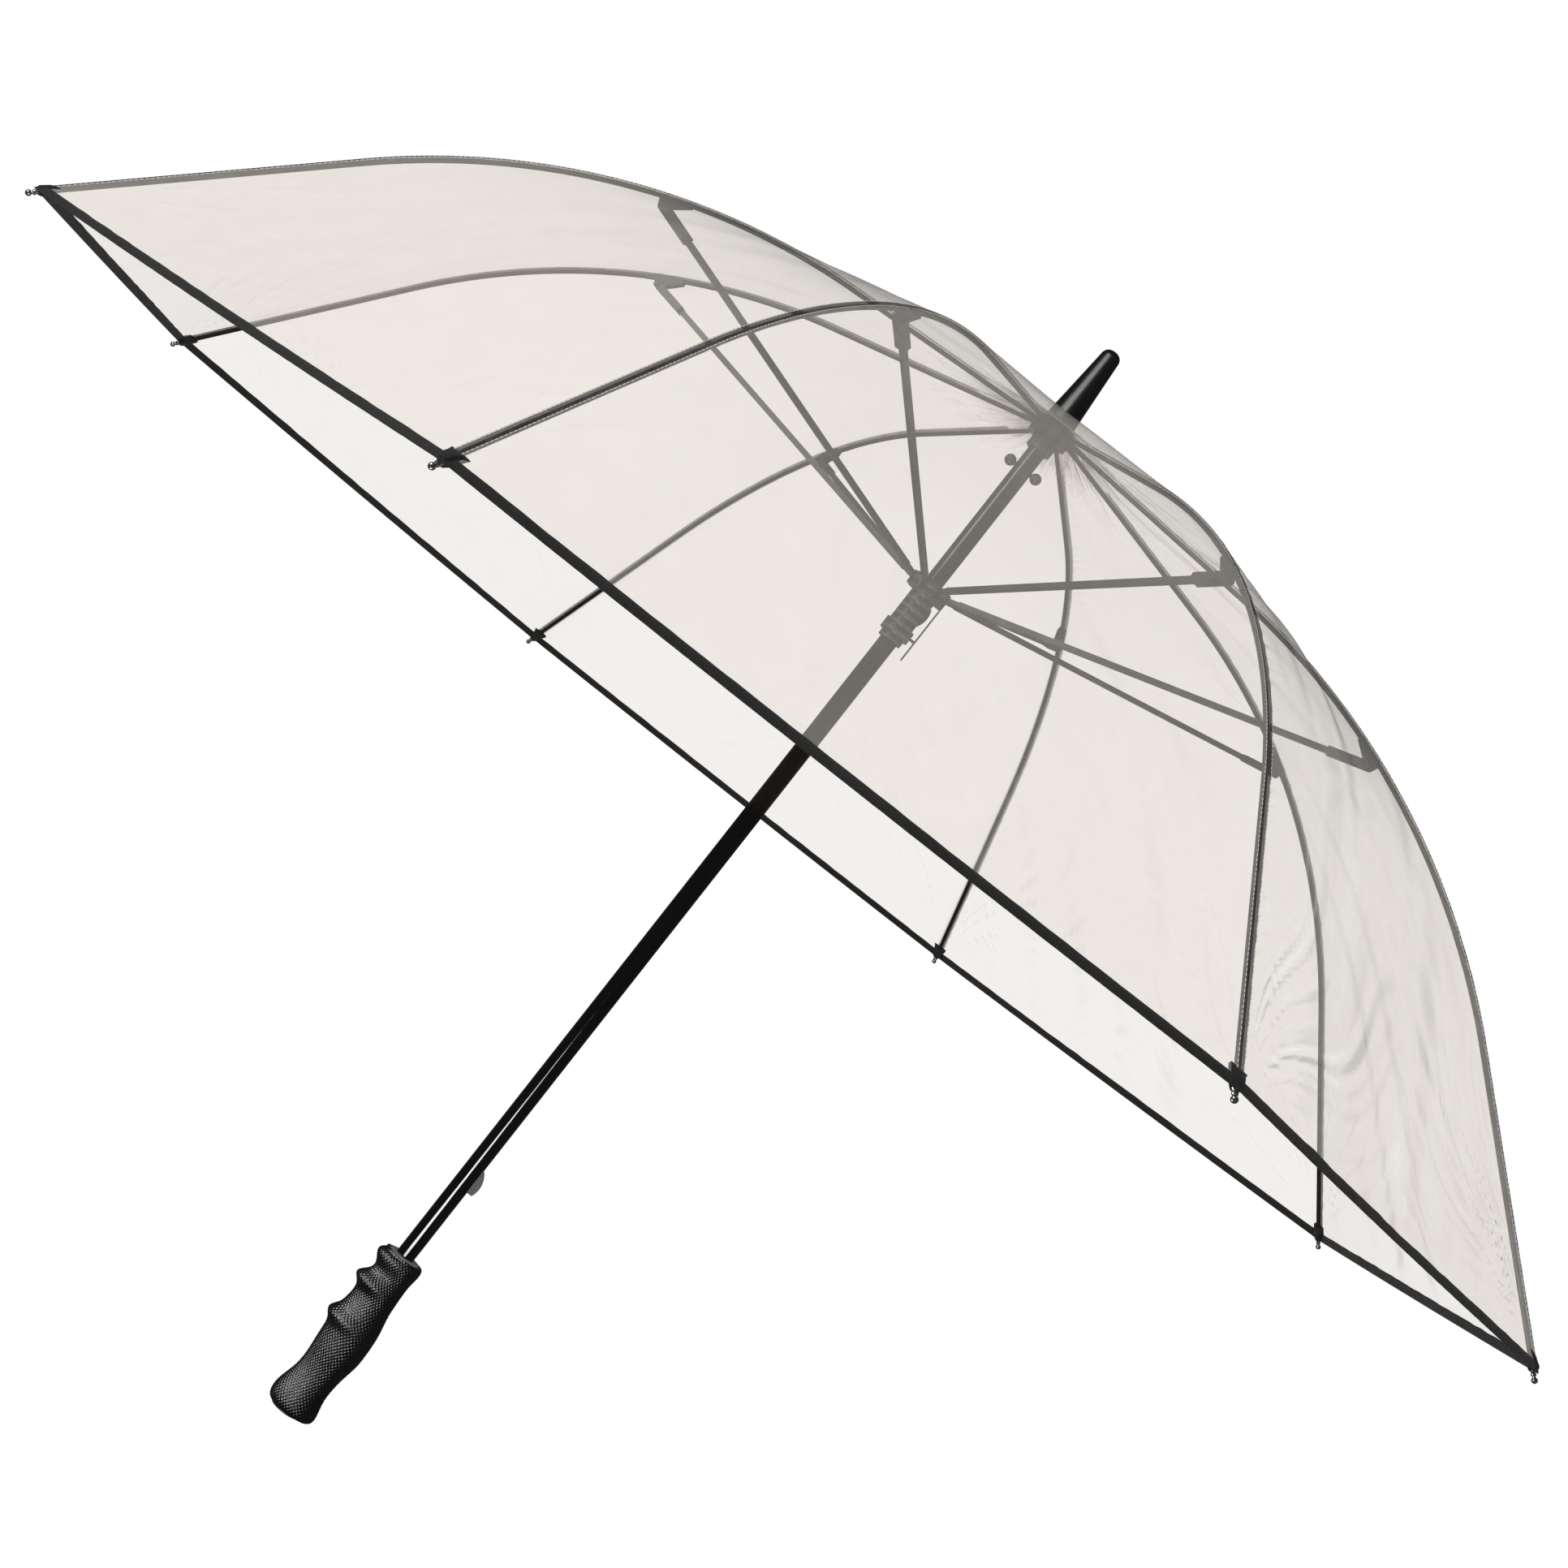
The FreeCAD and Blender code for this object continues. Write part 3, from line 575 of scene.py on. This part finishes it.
def film_material():
    """Clear soft film: mostly see-through, hazy in creases and at the crown, with painted shade where seen edge
    on, a painted highlight and painted shade on the two sides of each wrinkle, and painted dark streaks in the
    gathered folds at the crown.
    """
    shader = Shader("clear_film")
    streaks = shader.noise(55, 5.0, 0.62, vector=shader.place((1.0, 1.0, 0.22)), distortion=0.6)
    fine = shader.noise(260, 3.0, 0.6, vector=shader.place((1.0, 1.0, 0.35)))
    edge_on = shader.add("ShaderNodeLayerWeight", {"Blend": 0.5}).outputs["Facing"]
    crease = shader.attribute("crease")
    steep = shader.fit(shader.maths("ABSOLUTE", crease), 0.02, 0.16, 0.0, 1.0)
    along = shader.attribute("along")
    gather = shader.fit(along, 0.015, 0.15, 1.0, 0.0, smooth=True)
    hub = shader.fit(along, 0.020, 0.085, 0.70, 0.0, smooth=True)
    around = shader.maths("MULTIPLY", shader.attribute("turn"), 9.0)
    outward = shader.maths("MULTIPLY", along, 22.0)
    rays = shader.add("ShaderNodeCombineXYZ", {"X": around, "Y": outward}).outputs[0]
    ray = shader.noise(1.0, 5.0, 0.6, vector=rays, distortion=0.8)
    fold_shade_noise = shader.noise(2.2, 4.0, 0.6, vector=rays, distortion=1.2)
    veil = shader.fit(edge_on, 0.40, 1.0, FILM_HAZE, FILM_HAZE + 0.16)
    gathered = shader.maths("MULTIPLY", gather, shader.fit(ray, 0.48, 0.68, 0.0, 0.60, smooth=True))
    gathered = shader.maths("ADD", gathered, hub)
    share = shader.added([
        veil,
        shader.fit(streaks, 0.58, 0.78, 0.0, 0.03, smooth=True),
        shader.fit(fine, 0.70, 0.80, 0.0, 0.015),
        shader.maths("MULTIPLY", steep, 0.22),
        gathered,
        shader.fit(edge_on, 0.84, 0.98, 0.0, 0.25),
    ])
    colour = shader.mix(shader.fit(streaks, 0.35, 0.7, 0, 1), FILM_COLOUR, FILM_COLOUR_PALE)
    # Painted highlight on the wrinkles' sides that face away from the next rib, painted shade on the sides that
    # face it.
    colour = shader.mix(shader.fit(crease, -0.02, -0.15, 0.0, 0.85), colour, FILM_PAINTED_HIGHLIGHT)
    colour = shader.mix(shader.fit(crease, 0.02, 0.18, 0.0, 0.85), colour, FILM_PAINTED_SHADE)
    # Painted shade: dark streaks in the gathered folds at the crown.
    fold_painted_shade = shader.maths("MULTIPLY", gather, shader.fit(fold_shade_noise, 0.54, 0.64, 0.0, 0.9, smooth=True))
    colour = shader.mix(fold_painted_shade, colour, FILM_PAINTED_SHADE)
    # Painted shade where the film is seen edge on, standing in for the dark room it would mirror.
    colour = shader.mix(shader.fit(edge_on, 0.82, 0.97, 0.0, 1.0), colour, FILM_PAINTED_SHADE)
    height = shader.maths("ADD", streaks, shader.maths("MULTIPLY", fine, 0.15))
    normal = shader.bump(height, 0.12, 0.004)
    bsdf = shader.principled(Base_Color=colour, Roughness=0.16, Normal=normal, IOR=1.5)
    return shader.see_through(share, bsdf, FILM_TINT)


def seam_material():
    """Welded and bound layers over a rib: a dark core of glue and thread that fades into the doubled film."""
    shader = Shader("seam_tape")
    weld = shader.noise(700, 3.0, 0.6)
    patches = shader.noise(60, 4.0, 0.6)
    core = shader.attribute("core")
    share = shader.fit(patches, 0.3, 0.7, 0.12, 0.26)
    share = shader.maths("ADD", share, shader.maths("MULTIPLY", core, 0.62))
    pale = shader.mix(shader.fit(weld, 0.35, 0.7, 0, 1), grey(0.30, 0.05), grey(0.46, 0.05))
    dark = shader.mix(shader.fit(patches, 0.35, 0.7, 0, 1), grey(0.020, 0.05), grey(0.055, 0.05))
    colour = shader.mix(core, pale, dark)
    normal = shader.bump(weld, 0.4, 0.0006)
    bsdf = shader.principled(Base_Color=colour, Roughness=0.28, Normal=normal)
    return shader.see_through(share, bsdf, SEAM_TINT)


def woven(name, base, pale, lint_and_sheen_strength):
    """Black woven tape: crossed threads, uneven dye, and paler lint with a painted sheen that gather at its
    edges.
    """
    shader = Shader(name)
    crossed = []
    for turn in ((0.3, 0.2, 0.7), (0.3, 0.9, -0.7)):
        inputs = {"Vector": shader.place(turn=turn), "Scale": WEAVE_SCALE, "Distortion": 1.2}
        crossed.append(shader.add("ShaderNodeTexWave", inputs).outputs["Fac"])
    threads = shader.maths("MULTIPLY", *crossed)
    dye = shader.noise(48, 4.0, 0.6)
    # Paler lint where the points are marked; on the edge tape this is also a painted sheen along its edges and
    # fold.
    lint_and_sheen = shader.fit(shader.noise(900, 5.0, 0.75), 0.52, 0.66, 0, 1)
    lint_and_sheen = shader.maths("MULTIPLY", lint_and_sheen, shader.fit(shader.attribute("wear_and_highlight"), 0.2, 1.0, 0.10, 1.0))
    colour = shader.mix(shader.fit(dye, 0.3, 0.7, 0, 1), grey(base, 0.05), grey(base * 1.9, 0.05))
    colour = shader.mix(shader.maths("MULTIPLY", threads, 0.35), colour, grey(base * 3.0, 0.05))
    colour = shader.mix(shader.maths("MULTIPLY", lint_and_sheen, lint_and_sheen_strength), colour, grey(pale, 0.02))
    normal = shader.bump(shader.maths("ADD", threads, shader.maths("MULTIPLY", dye, 0.5)), 0.5, 0.0005)
    finish = {"Roughness": 0.82, "Sheen_Weight": 0.05, "Sheen_Roughness": 0.4}
    bsdf = shader.principled(Base_Color=colour, Normal=normal, **finish)
    return shader.surface(bsdf.outputs[0])


def knurled_rubber():
    """Grip rubber: matt grain, paler on the knurl's tops, as rubbed wear and a painted highlight."""
    shader = Shader("grip_rubber")
    grain = shader.noise(2400, 3.0, 0.6)
    clouds = shader.noise(40, 4.0, 0.6)
    # The knurl's tops are painted paler: partly rubbed wear, partly a painted highlight.
    wear_and_highlight = shader.fit(shader.attribute("wear_and_highlight"), 0.35, 1.0, 0.0, 1.0)
    colour = shader.mix(shader.fit(clouds, 0.3, 0.7, 0, 1), grey(0.0010, 0.1), grey(0.0020, 0.1))
    worn = shader.maths("MULTIPLY", wear_and_highlight, shader.fit(clouds, 0.35, 0.65, 0.25, 0.9))
    colour = shader.mix(worn, colour, grey(0.006, 0.03))
    rough = shader.fit(clouds, 0.3, 0.7, 0.24, 0.32)
    normal = shader.bump(grain, 0.3, 0.0001)
    bsdf = shader.principled(Base_Color=colour, Roughness=rough, Normal=normal)
    return shader.surface(bsdf.outputs[0])


def thread_material():
    """Pale sewing thread."""
    shader = Shader("thread")
    twist = shader.add("ShaderNodeTexWave", {"Vector": shader.place(turn=(0.5, 0.4, 0.2)), "Scale": THREAD_SCALE})
    colour = shader.mix(twist.outputs["Fac"], grey(0.42, 0.03), grey(0.75, 0.02))
    normal = shader.bump(twist.outputs["Fac"], 0.4, 0.0001)
    return shader.surface(shader.principled(Base_Color=colour, Roughness=0.7, Normal=normal).outputs[0])


FILM = film_material()
SEAM = seam_material()
TAPE = woven("edge_tape", 0.0045, 0.08, 0.38)
POCKET = woven("tip_pocket", 0.0045, 0.08, 0.35)
THREAD = thread_material()
RUBBER = knurled_rubber()

CAD_MATERIALS = {
    "shaft": lacquer("shaft_lacquer", 0.0020, 0.09, 0.03, (1, 1, 0.03), 0.006),
    "ferrule": lacquer("ferrule_gloss", 0.0025, 0.32, 0.06, (1, 1, 0.1), 0.006),
    "crown": moulded("crown_plastic", 0.008, 0.34),
    "crown_wire": plated("hinge_wire", 0.42, 0.3),
    "runner_wire": plated("runner_hinge_wire", 0.42, 0.3),
    "stop_pin": moulded("pin_plastic", 0.010, 0.32),
    "catch_springs": plated("spring_steel", 0.40, 0.32),
    "upper_catch": lacquer("upper_catch_steel", 0.006, 0.50, 0.1, (1, 1, 1), 0.02),
    "lower_catch": lacquer("lower_catch_steel", 0.006, 0.50, 0.1, (1, 1, 1), 0.02),
    "grip_collar": moulded("collar_plastic", 0.085, 0.45, 1400, 0.2, 0.14),
    "grip_end_plug": moulded("plug_plastic", 0.007, 0.45),
    "runner": ringed("runner_plastic", 0.006, 0.30, 0.0068),
    "catch_guard": lacquer("guard_steel", 0.012, 0.3, 0.1, (1, 1, 0.1), 0.04),
    "inner_rib": lacquer("rib_lacquer", 0.006, 0.32, 0.12, (1, 1, 1), 0.03),
    "outer_rib": lacquer("outer_rib_lacquer", 0.006, 0.32, 0.12, (1, 1, 1), 0.03),
    "rib_bracket": moulded("bracket_plastic", 0.009, 0.36),
    "stretcher": lacquer("stretcher_lacquer", 0.007, 0.30, 0.12, (1, 1, 1), 0.03),
    "tip_cap": plated("tip_nickel", 0.62, 0.12),
}


def family(node):
    """A node's name without its number."""
    head, _, tail = node.rpartition("_")
    return head if tail.isdigit() else node


for node, piece in NODES.items():
    if family(node) in CAD_MATERIALS:
        piece.data.materials.clear()
        piece.data.materials.append(CAD_MATERIALS[family(node)])


# ---------------------------------------------------------------- film

def lateral_steps(width):
    """Shares of a half panel, from its rib to its middle, close together beside the rib."""
    fine = int(RIBSIDE_WIDTH / RIBSIDE_PITCH)
    coarse = int((width - RIBSIDE_WIDTH) / PANEL_PITCH)
    beside = np.linspace(0, RIBSIDE_WIDTH, fine, endpoint=False)
    return np.concatenate([beside, np.linspace(RIBSIDE_WIDTH, width, coarse)]) / width


def film_sector(number, inner):
    """Film over one rib, half a panel to each side, as one sheet with a crease on the rib."""
    name = "film_%s_%d" % ("inner" if inner else "outer", number)
    wide = profile_at(JOINT_ALONG if inner else EDGE_ALONG)[0] * math.sin(HALF_STEP)
    shares = lateral_steps(wide)
    length = JOINT_ALONG if inner else EDGE_ALONG - JOINT_ALONG
    rows = int(length / ROW_PITCH)
    depth = np.linspace(0, 1, rows + 1)[:, None]
    points, normals, faces, marks = [], [], [], []
    for panel, on_rib, in_middle in halves(number):
        across = on_rib + (in_middle - on_rib) * shares[None, :]
        first, last = (0.0, JOINT_ALONG) if inner else (JOINT_ALONG, edge_at(across) - FILM_OFF_FOLD)
        along = first + (last - first) * depth
        along, across = np.broadcast_arrays(along, across)
        block = grid_faces(rows + 1, len(shares), first=sum(len(p) for p in points))
        faces += block if on_rib == 1.0 else [face[::-1] for face in block]
        points.append(film_points(panel, along, across).reshape(-1, 3))
        normals.append(film_normals(panel, along, across).reshape(-1, 3))
        turn = RIB_AZIMUTH[panel] % (2 * math.pi) + 2 * HALF_STEP * across
        marks.append(np.stack([creases(panel, along, across), along, turn], -1).reshape(-1, 3))
    piece = mesh_object(name, np.vstack(points), faces, FILM)
    for mark, values in zip(("crease", "along", "turn"), np.vstack(marks).T):
        point_attribute(piece, mark, values)
    piece.data.normals_split_custom_set_from_vertices(np.vstack(normals).tolist())
    return piece


def tangent_of(number):
    """Direction across a rib, level and at right angles to it."""
    azimuth = RIB_AZIMUTH[number]
    return (-math.sin(azimuth), math.cos(azimuth), 0.0)


def ride_and_fold(piece, number, part):
    """The piece moves with a rib and gets a mesh of its own."""
    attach(piece, "%s_rib_%d" % (part, number))
    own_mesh(piece)


# ---------------------------------------------------------------- edge tape

def frames_along_edge(number):
    """Points of the canopy's edge over one rib's sector, with directions past the edge and off the film."""
    rows = []
    wide = profile_at(EDGE_ALONG)[0] * math.sin(HALF_STEP)
    shares = np.linspace(0, 1, int(wide / TAPE_PITCH))
    for panel, on_rib, in_middle in halves(number):
        across = on_rib + (in_middle - on_rib) * shares
        edge = edge_at(across)
        points = film_points(panel, edge, across)
        past_edge = unit(points - film_points(panel, edge - 0.004, across))
        rows.append((points, past_edge, film_normals(panel, edge, across)))
    left, right = rows
    both = [np.vstack([a[:0:-1], (a[:1] + b[:1]) / 2, b[1:]]) for a, b in zip(left, right)]
    return both[0], unit(both[1]), unit(both[2])


def edge_tape(number):
    """Tape folded over the film's edge, with a rounded fold and a slightly uneven pull."""
    points, out, up = frames_along_edge(number)
    rng = np.random.default_rng(300 + number)
    along = np.concatenate([[0], np.cumsum(np.linalg.norm(np.diff(points, axis=0), axis=1))])
    ends = np.clip(np.minimum(along, along[-1] - along) / TAPE_END_FADE, 0, 1)
    section = TAPE_SECTION + [(a, -b) for a, b in TAPE_SECTION[-2::-1]]
    pull = 1 + ends * 0.02 * total(waves(rng, 4, 60, 320), along)
    swell = 1 + ends * 0.12 * total(waves(rng, 4, 150, 700), along)
    rings, wear_and_highlight = [], []
    for a, b in section:
        sideways = out * (a * TAPE_WIDTH * pull)[:, None]
        upwards = up * (b * TAPE_HALF_THICKNESS * swell)[:, None]
        rings.append(points + sideways + upwards)
        # Marks the tape's edges and fold for paler lint and a painted sheen.
        wear_and_highlight.append(np.full(len(points), 1.0 if a <= -0.9 or a >= 0.0 else 0.15))
    grid = np.stack(rings, 1)
    faces = grid_faces(len(points), len(section), closed=True)
    piece = mesh_object("edge_tape_%d" % number, grid, faces, TAPE)
    point_attribute(piece, "wear_and_highlight", np.stack(wear_and_highlight, 1))
    return piece


# ---------------------------------------------------------------- seams over the ribs

def seam(number, inner):
    """Doubled film along a rib with two rows of stitches."""
    part = "inner" if inner else "outer"
    low, high = (SEAM_START, JOINT_ALONG) if inner else (JOINT_ALONG, EDGE_ALONG - TAPE_WIDTH)
    along = np.linspace(low, high, int((high - low) / SEAM_PITCH))
    chord = 2 * profile_at(along)[0] * math.sin(HALF_STEP)
    columns = []
    for panel, on_rib, in_middle in halves(number):
        for offset in SEAM_OFFSETS:
            across = np.abs(on_rib - offset * SEAM_HALF_WIDTH / chord)
            lift = SEAM_LIFT * (0.15 if offset == 1.0 else 1.0)
            columns.append(film_points(panel, along, across, lift))
    grid = np.stack(columns[3:0:-1] + [(columns[0] + columns[4]) / 2] + columns[5:], 1)
    tape = mesh_object("seam_%s_%d" % (part, number), grid, grid_faces(*grid.shape[:2]), SEAM)
    point_attribute(tape, "core", np.broadcast_to(SEAM_CORE, grid.shape[:2]))
    stitches = []
    count = int((high - low) / STITCH_PITCH)
    starts = low + (np.arange(count) + 0.2) * STITCH_PITCH
    for panel, on_rib, in_middle in halves(number):
        for start in starts:
            ends = np.array([start, start + STITCH_PITCH * 0.35, start + STITCH_PITCH * 0.7])
            chord = 2 * profile_at(ends)[0] * math.sin(HALF_STEP)
            rows = []
            for side, rise in ((-1, STITCH_SIDE_RISE), (0, STITCH_TOP_RISE), (1, STITCH_SIDE_RISE)):
                across = np.abs(on_rib - (STITCH_ROW + side * STITCH_HALF_WIDTH) / chord)
                arch = np.array([0.0, rise, 0.0])
                rows.append(film_points(panel, ends, across, SEAM_LIFT + STITCH_LIFT + arch))
            stitches.append((np.stack(rows, 1), grid_faces(3, 3)))
    thread = joined("stitches_%s_%d" % (part, number), stitches, THREAD)
    return tape, thread


# ---------------------------------------------------------------- tip pockets

def tip_pocket(number):
    """Crumpled pocket of tape that holds a rib's tip cap."""
    azimuth = RIB_AZIMUTH[number]
    rng = np.random.default_rng(500 + number)
    side = np.array(tangent_of(number))
    angles = np.linspace(0, 2 * math.pi, POCKET_AROUND, endpoint=False)
    sides = np.sign(np.cos(angles)) * np.abs(np.cos(angles)) ** 0.8
    tops = np.sign(np.sin(angles)) * np.abs(np.sin(angles)) ** 0.9
    rings = []
    for back, half_wide, half_thick in POCKET_STATIONS:
        along = FILM_REACH - POCKET_OFF_EDGE + back
        radius, height = RIB.point(along)
        slope = RIB.tangent(along)
        centre = np.array([radius * math.cos(azimuth), radius * math.sin(azimuth), height])
        up = np.array([-slope[1] * math.cos(azimuth), -slope[1] * math.sin(azimuth), slope[0]])
        crumple = 1 + 0.10 * np.sin(3 * angles + rng.uniform(0, 6))
        crumple += 0.08 * np.sin(5 * angles + rng.uniform(0, 6))
        lateral = sides * half_wide * crumple
        vertical = tops * half_thick * crumple + POCKET_LIFT
        rings.append(centre + lateral[:, None] * side + vertical[:, None] * up)
    grid = np.stack(rings)
    faces = grid_faces(len(POCKET_STATIONS), POCKET_AROUND, closed=True)
    piece = mesh_object("tip_pocket_%d" % number, grid, faces, POCKET)
    modifier = piece.modifiers.new("rounding", "SUBSURF")
    modifier.levels = 1
    modifier.render_levels = 1
    point_attribute(piece, "wear_and_highlight", rng.uniform(0.0, 1.0, grid.shape[:2]) ** 2)
    return piece


for number in RIBS:
    inner_film = film_sector(number, True)
    outer_film = film_sector(number, False)
    tape = edge_tape(number)
    pocket = tip_pocket(number)
    inner_seam, inner_thread = seam(number, True)
    outer_seam, outer_thread = seam(number, False)
    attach(pocket, "outer_rib_%d" % number)
    for piece in (inner_film, inner_seam, inner_thread):
        ride_and_fold(piece, number, "inner")
    for piece in (outer_film, outer_seam, outer_thread, tape):
        ride_and_fold(piece, number, "outer")
    for piece in (inner_film, outer_film):
        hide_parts("canopy_film")
    for piece in (tape, pocket):
        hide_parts("canopy_binding")
    for piece in (inner_seam, outer_seam, inner_thread, outer_thread):
        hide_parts("canopy_seams")


# ---------------------------------------------------------------- grip

def grip_radii(heights, angles):
    """Radius of the CAD grip's outside at each height and angle."""
    source = NODES["grip"].data
    tree = BVHTree.FromPolygons([v.co for v in source.vertices], [p.vertices[:] for p in source.polygons])
    radii = np.zeros((len(heights), len(angles)))
    for row, height in enumerate(heights):
        for column, angle in enumerate(angles):
            direction = Vector((math.cos(angle), math.sin(angle), 0))
            hit = tree.ray_cast(direction * RAY_START + Vector((0, 0, height)), -direction)
            radii[row, column] = RAY_START - hit[3]
    return radii


def knurl(heights, angles):
    """How far the diamond grooves are cut in, from 0 to 1: two sets of helical grooves that cross."""
    turn = KNURL_STARTS * angles[None, :] / (2 * math.pi)
    climb = heights[:, None] / KNURL_CLIMB
    ridges = [np.abs(((turn + sign * climb) % 1.0) - 0.5) * 2 for sign in (1, -1)]
    cuts = [np.clip((ridge - KNURL_FLAT) / KNURL_SLOPE, 0, 1) for ridge in ridges]
    return np.maximum(*cuts)


def ring_points(radius, angles, height):
    """Points round the shaft's axis, for radii and a height that may vary."""
    x = radius * np.cos(angles)
    y = radius * np.sin(angles)
    return np.stack(np.broadcast_arrays(x, y, height), -1)


def knurled_grip():
    """The CAD grip's outside at a fine pitch, with diamond knurling cut into it."""
    low = -GRIP_HALF_LENGTH + GRIP_END_ROUND
    heights = np.arange(low, GRIP_HALF_LENGTH - GRIP_END_ROUND, KNURL_ROW_PITCH)
    angles = np.linspace(0, 2 * math.pi, KNURL_AROUND, endpoint=False)
    cut = knurl(heights, angles)
    fade = np.clip((GRIP_HALF_LENGTH - np.abs(heights)) / KNURL_FADE, 0, 1)[:, None]
    radii = grip_radii(heights, angles) - KNURL_DEPTH * cut * fade
    ends = []
    for edge, height, bore in ((radii[0], -GRIP_HALF_LENGTH, PLUG_RADIUS - PLUG_LAP),
                               (radii[-1], GRIP_HALF_LENGTH, COLLAR_RADIUS)):
        lip = ring_points(edge - GRIP_LIP, angles, height)
        hole = ring_points(bore, angles, height)
        deep = hole - (0, 0, math.copysign(BORE_DEPTH, height))
        ends.append(np.stack([deep, hole, lip]))
    grid = np.concatenate([ends[0], ring_points(radii, angles, heights[:, None]), ends[1][::-1]])
    piece = mesh_object("grip_knurled", grid, grid_faces(len(grid), KNURL_AROUND, closed=True), RUBBER)
    unrubbed = np.zeros((3, KNURL_AROUND))
    # Marks the knurl's tops for rubbed wear and a painted highlight.
    point_attribute(piece, "wear_and_highlight", np.concatenate([unrubbed, (1 - cut) * fade, unrubbed]))
    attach(piece, "frame")
    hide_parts("grip")
    return piece


KNURLED_GRIP = knurled_grip()


# ---------------------------------------------------------------- rivets

def rivets(number):
    """Bright rivet heads where the stretcher meets its bracket."""
    azimuth, (radius, height) = joint_place("stretcher_hinge_%d" % number)
    side = np.array(tangent_of(number))
    out = np.array([math.cos(azimuth), math.sin(azimuth), 0.0])
    up = np.array([0.0, 0.0, 1.0])
    centre = radius * out + height * up
    angles = np.linspace(0, 2 * math.pi, RIVET_AROUND, endpoint=False)
    circle = np.cos(angles)[:, None] * out + np.sin(angles)[:, None] * up
    parts = []
    for sign in (1, -1):
        rings = []
        for reach, rise in RIVET_HEAD:
            rings.append(centre + side * sign * (RIVET_SEAT + rise) + reach * circle)
        faces = grid_faces(len(rings), RIVET_AROUND, closed=True)
        last_ring = (len(rings) - 1) * RIVET_AROUND
        faces.append(tuple(range(last_ring, last_ring + RIVET_AROUND)))
        parts.append((np.stack(rings), faces if sign < 0 else [face[::-1] for face in faces]))
    piece = joined("rivets_%d" % number, parts, CAD_MATERIALS["tip_cap"])
    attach(piece, "inner_rib_%d" % number)


for number in RIBS:
    rivets(number)


# ---------------------------------------------------------------- floor, light and camera

def stage():
    """White floor just under the grip, bright to the camera so that it has no horizon."""
    half = FLOOR_HALF
    corners = [(-half, -half, 0), (half, -half, 0), (half, half, 0), (-half, half, 0)]
    shader = Shader("floor_paper")
    mirrored = shader.add("ShaderNodeLightPath").outputs["Is Glossy Ray"]
    strength = shader.fit(mirrored, 0.0, 1.0, 1.0, STUDIO_DIM)
    light = shader.add("ShaderNodeEmission", {"Color": WHITE, "Strength": strength})
    floor = mesh_object("floor", corners, [(0, 1, 2, 3)], shader.surface(light.outputs[0]), smooth=False)
    floor.location.z = CAD_BOUNDS[0].z - FLOOR_GAP


def world():
    """White backdrop for the camera, even light for matt surfaces and dim studio walls for reflections."""
    made = bpy.data.worlds.new("studio")
    bpy.context.scene.world = made
    made.use_nodes = True
    tree = made.node_tree
    tree.nodes.clear()
    path = tree.nodes.new("ShaderNodeLightPath")
    strength = tree.nodes.new("ShaderNodeMapRange")
    tree.links.new(path.outputs["Is Glossy Ray"], strength.inputs["Value"])
    strength.inputs["To Min"].default_value = 1.0
    strength.inputs["To Max"].default_value = STUDIO_DIM
    background = tree.nodes.new("ShaderNodeBackground")
    tree.links.new(strength.outputs["Result"], background.inputs["Strength"])
    background.inputs["Color"].default_value = WHITE
    output = tree.nodes.new("ShaderNodeOutputWorld")
    tree.links.new(background.outputs[0], output.inputs["Surface"])
    made.cycles.sampling_method = "NONE"


def softbox(name, power, place, aim, size, only_on=None):
    """Area light. With only_on it makes highlights alone, and only on those pieces."""
    lamp = bpy.data.lights.new(name, "AREA")
    lamp.shape = "RECTANGLE"
    lamp.size, lamp.size_y = size
    lamp.energy = power
    stand = bpy.data.objects.new(name, lamp)
    bpy.context.scene.collection.objects.link(stand)
    stand.location = place
    stand.rotation_euler = (Vector(aim) - Vector(place)).to_track_quat("-Z", "Y").to_euler()
    stand.visible_camera = False
    if only_on:
        lit = bpy.data.collections.new(name + "_receivers")
        for piece in only_on:
            lit.objects.link(piece)
        stand.light_linking.receiver_collection = lit
        stand.visible_diffuse = False
    return stand


def highlight_card():
    """White card that widens towards the floor, seen only mirrored in polished parts."""
    shader = Shader("card_light")
    light = shader.add("ShaderNodeEmission", {"Color": WHITE, "Strength": CARD_STRENGTH})
    corners = [(0, 0, CARD_TOP), (-CARD_HALF_WIDTH, 0, CARD_BOTTOM), (CARD_HALF_WIDTH, 0, CARD_BOTTOM)]
    card = mesh_object("highlight_card", corners, [(0, 1, 2)], shader.surface(light.outputs[0]), smooth=False)
    card.location = CARD_PLACE
    card.visible_camera = False
    card.visible_diffuse = False
    card.visible_transmission = False
    card.visible_shadow = False


def camera():
    """Camera a little below the dome's rim, rolled 38 degrees."""
    lens = bpy.data.cameras.new("camera")
    lens.sensor_width = CAMERA_SENSOR
    lens.lens = CAMERA_LENS
    lens.shift_x, lens.shift_y = CAMERA_SHIFT
    right = Vector(CAMERA_RIGHT).normalized()
    back = right.cross(Vector(CAMERA_UP)).normalized()
    turn = Matrix((right, back.cross(right), back)).transposed()
    stand = bpy.data.objects.new("camera", lens)
    bpy.context.scene.collection.objects.link(stand)
    stand.matrix_world = Matrix.Translation(CAMERA_PLACE) @ turn.to_4x4()
    bpy.context.scene.camera = stand


stage()
world()
highlight_card()
softbox("key", 22.0, place=(-1.6, -1.3, 1.5), aim=(0, 0, 0.6), size=(1.0, 1.0))
fill = softbox("fill", 12.0, place=(1.9, -1.2, 0.9), aim=(0, 0, 0.5), size=(0.8, 1.4))
fill.visible_glossy = False
softbox("grip_sheen", 42.0, place=(-1.35, -0.80, 0.25), aim=(0, 0, 0), size=(0.6, 1.0),
        only_on=[KNURLED_GRIP])
softbox("ferrule_sheen", 16.0, place=(-0.75, -1.35, 1.05), aim=(0, 0, 0.86), size=(0.35, 0.9),
        only_on=[NODES["ferrule"]])
camera()
bpy.context.scene.view_settings.view_transform = "Standard"
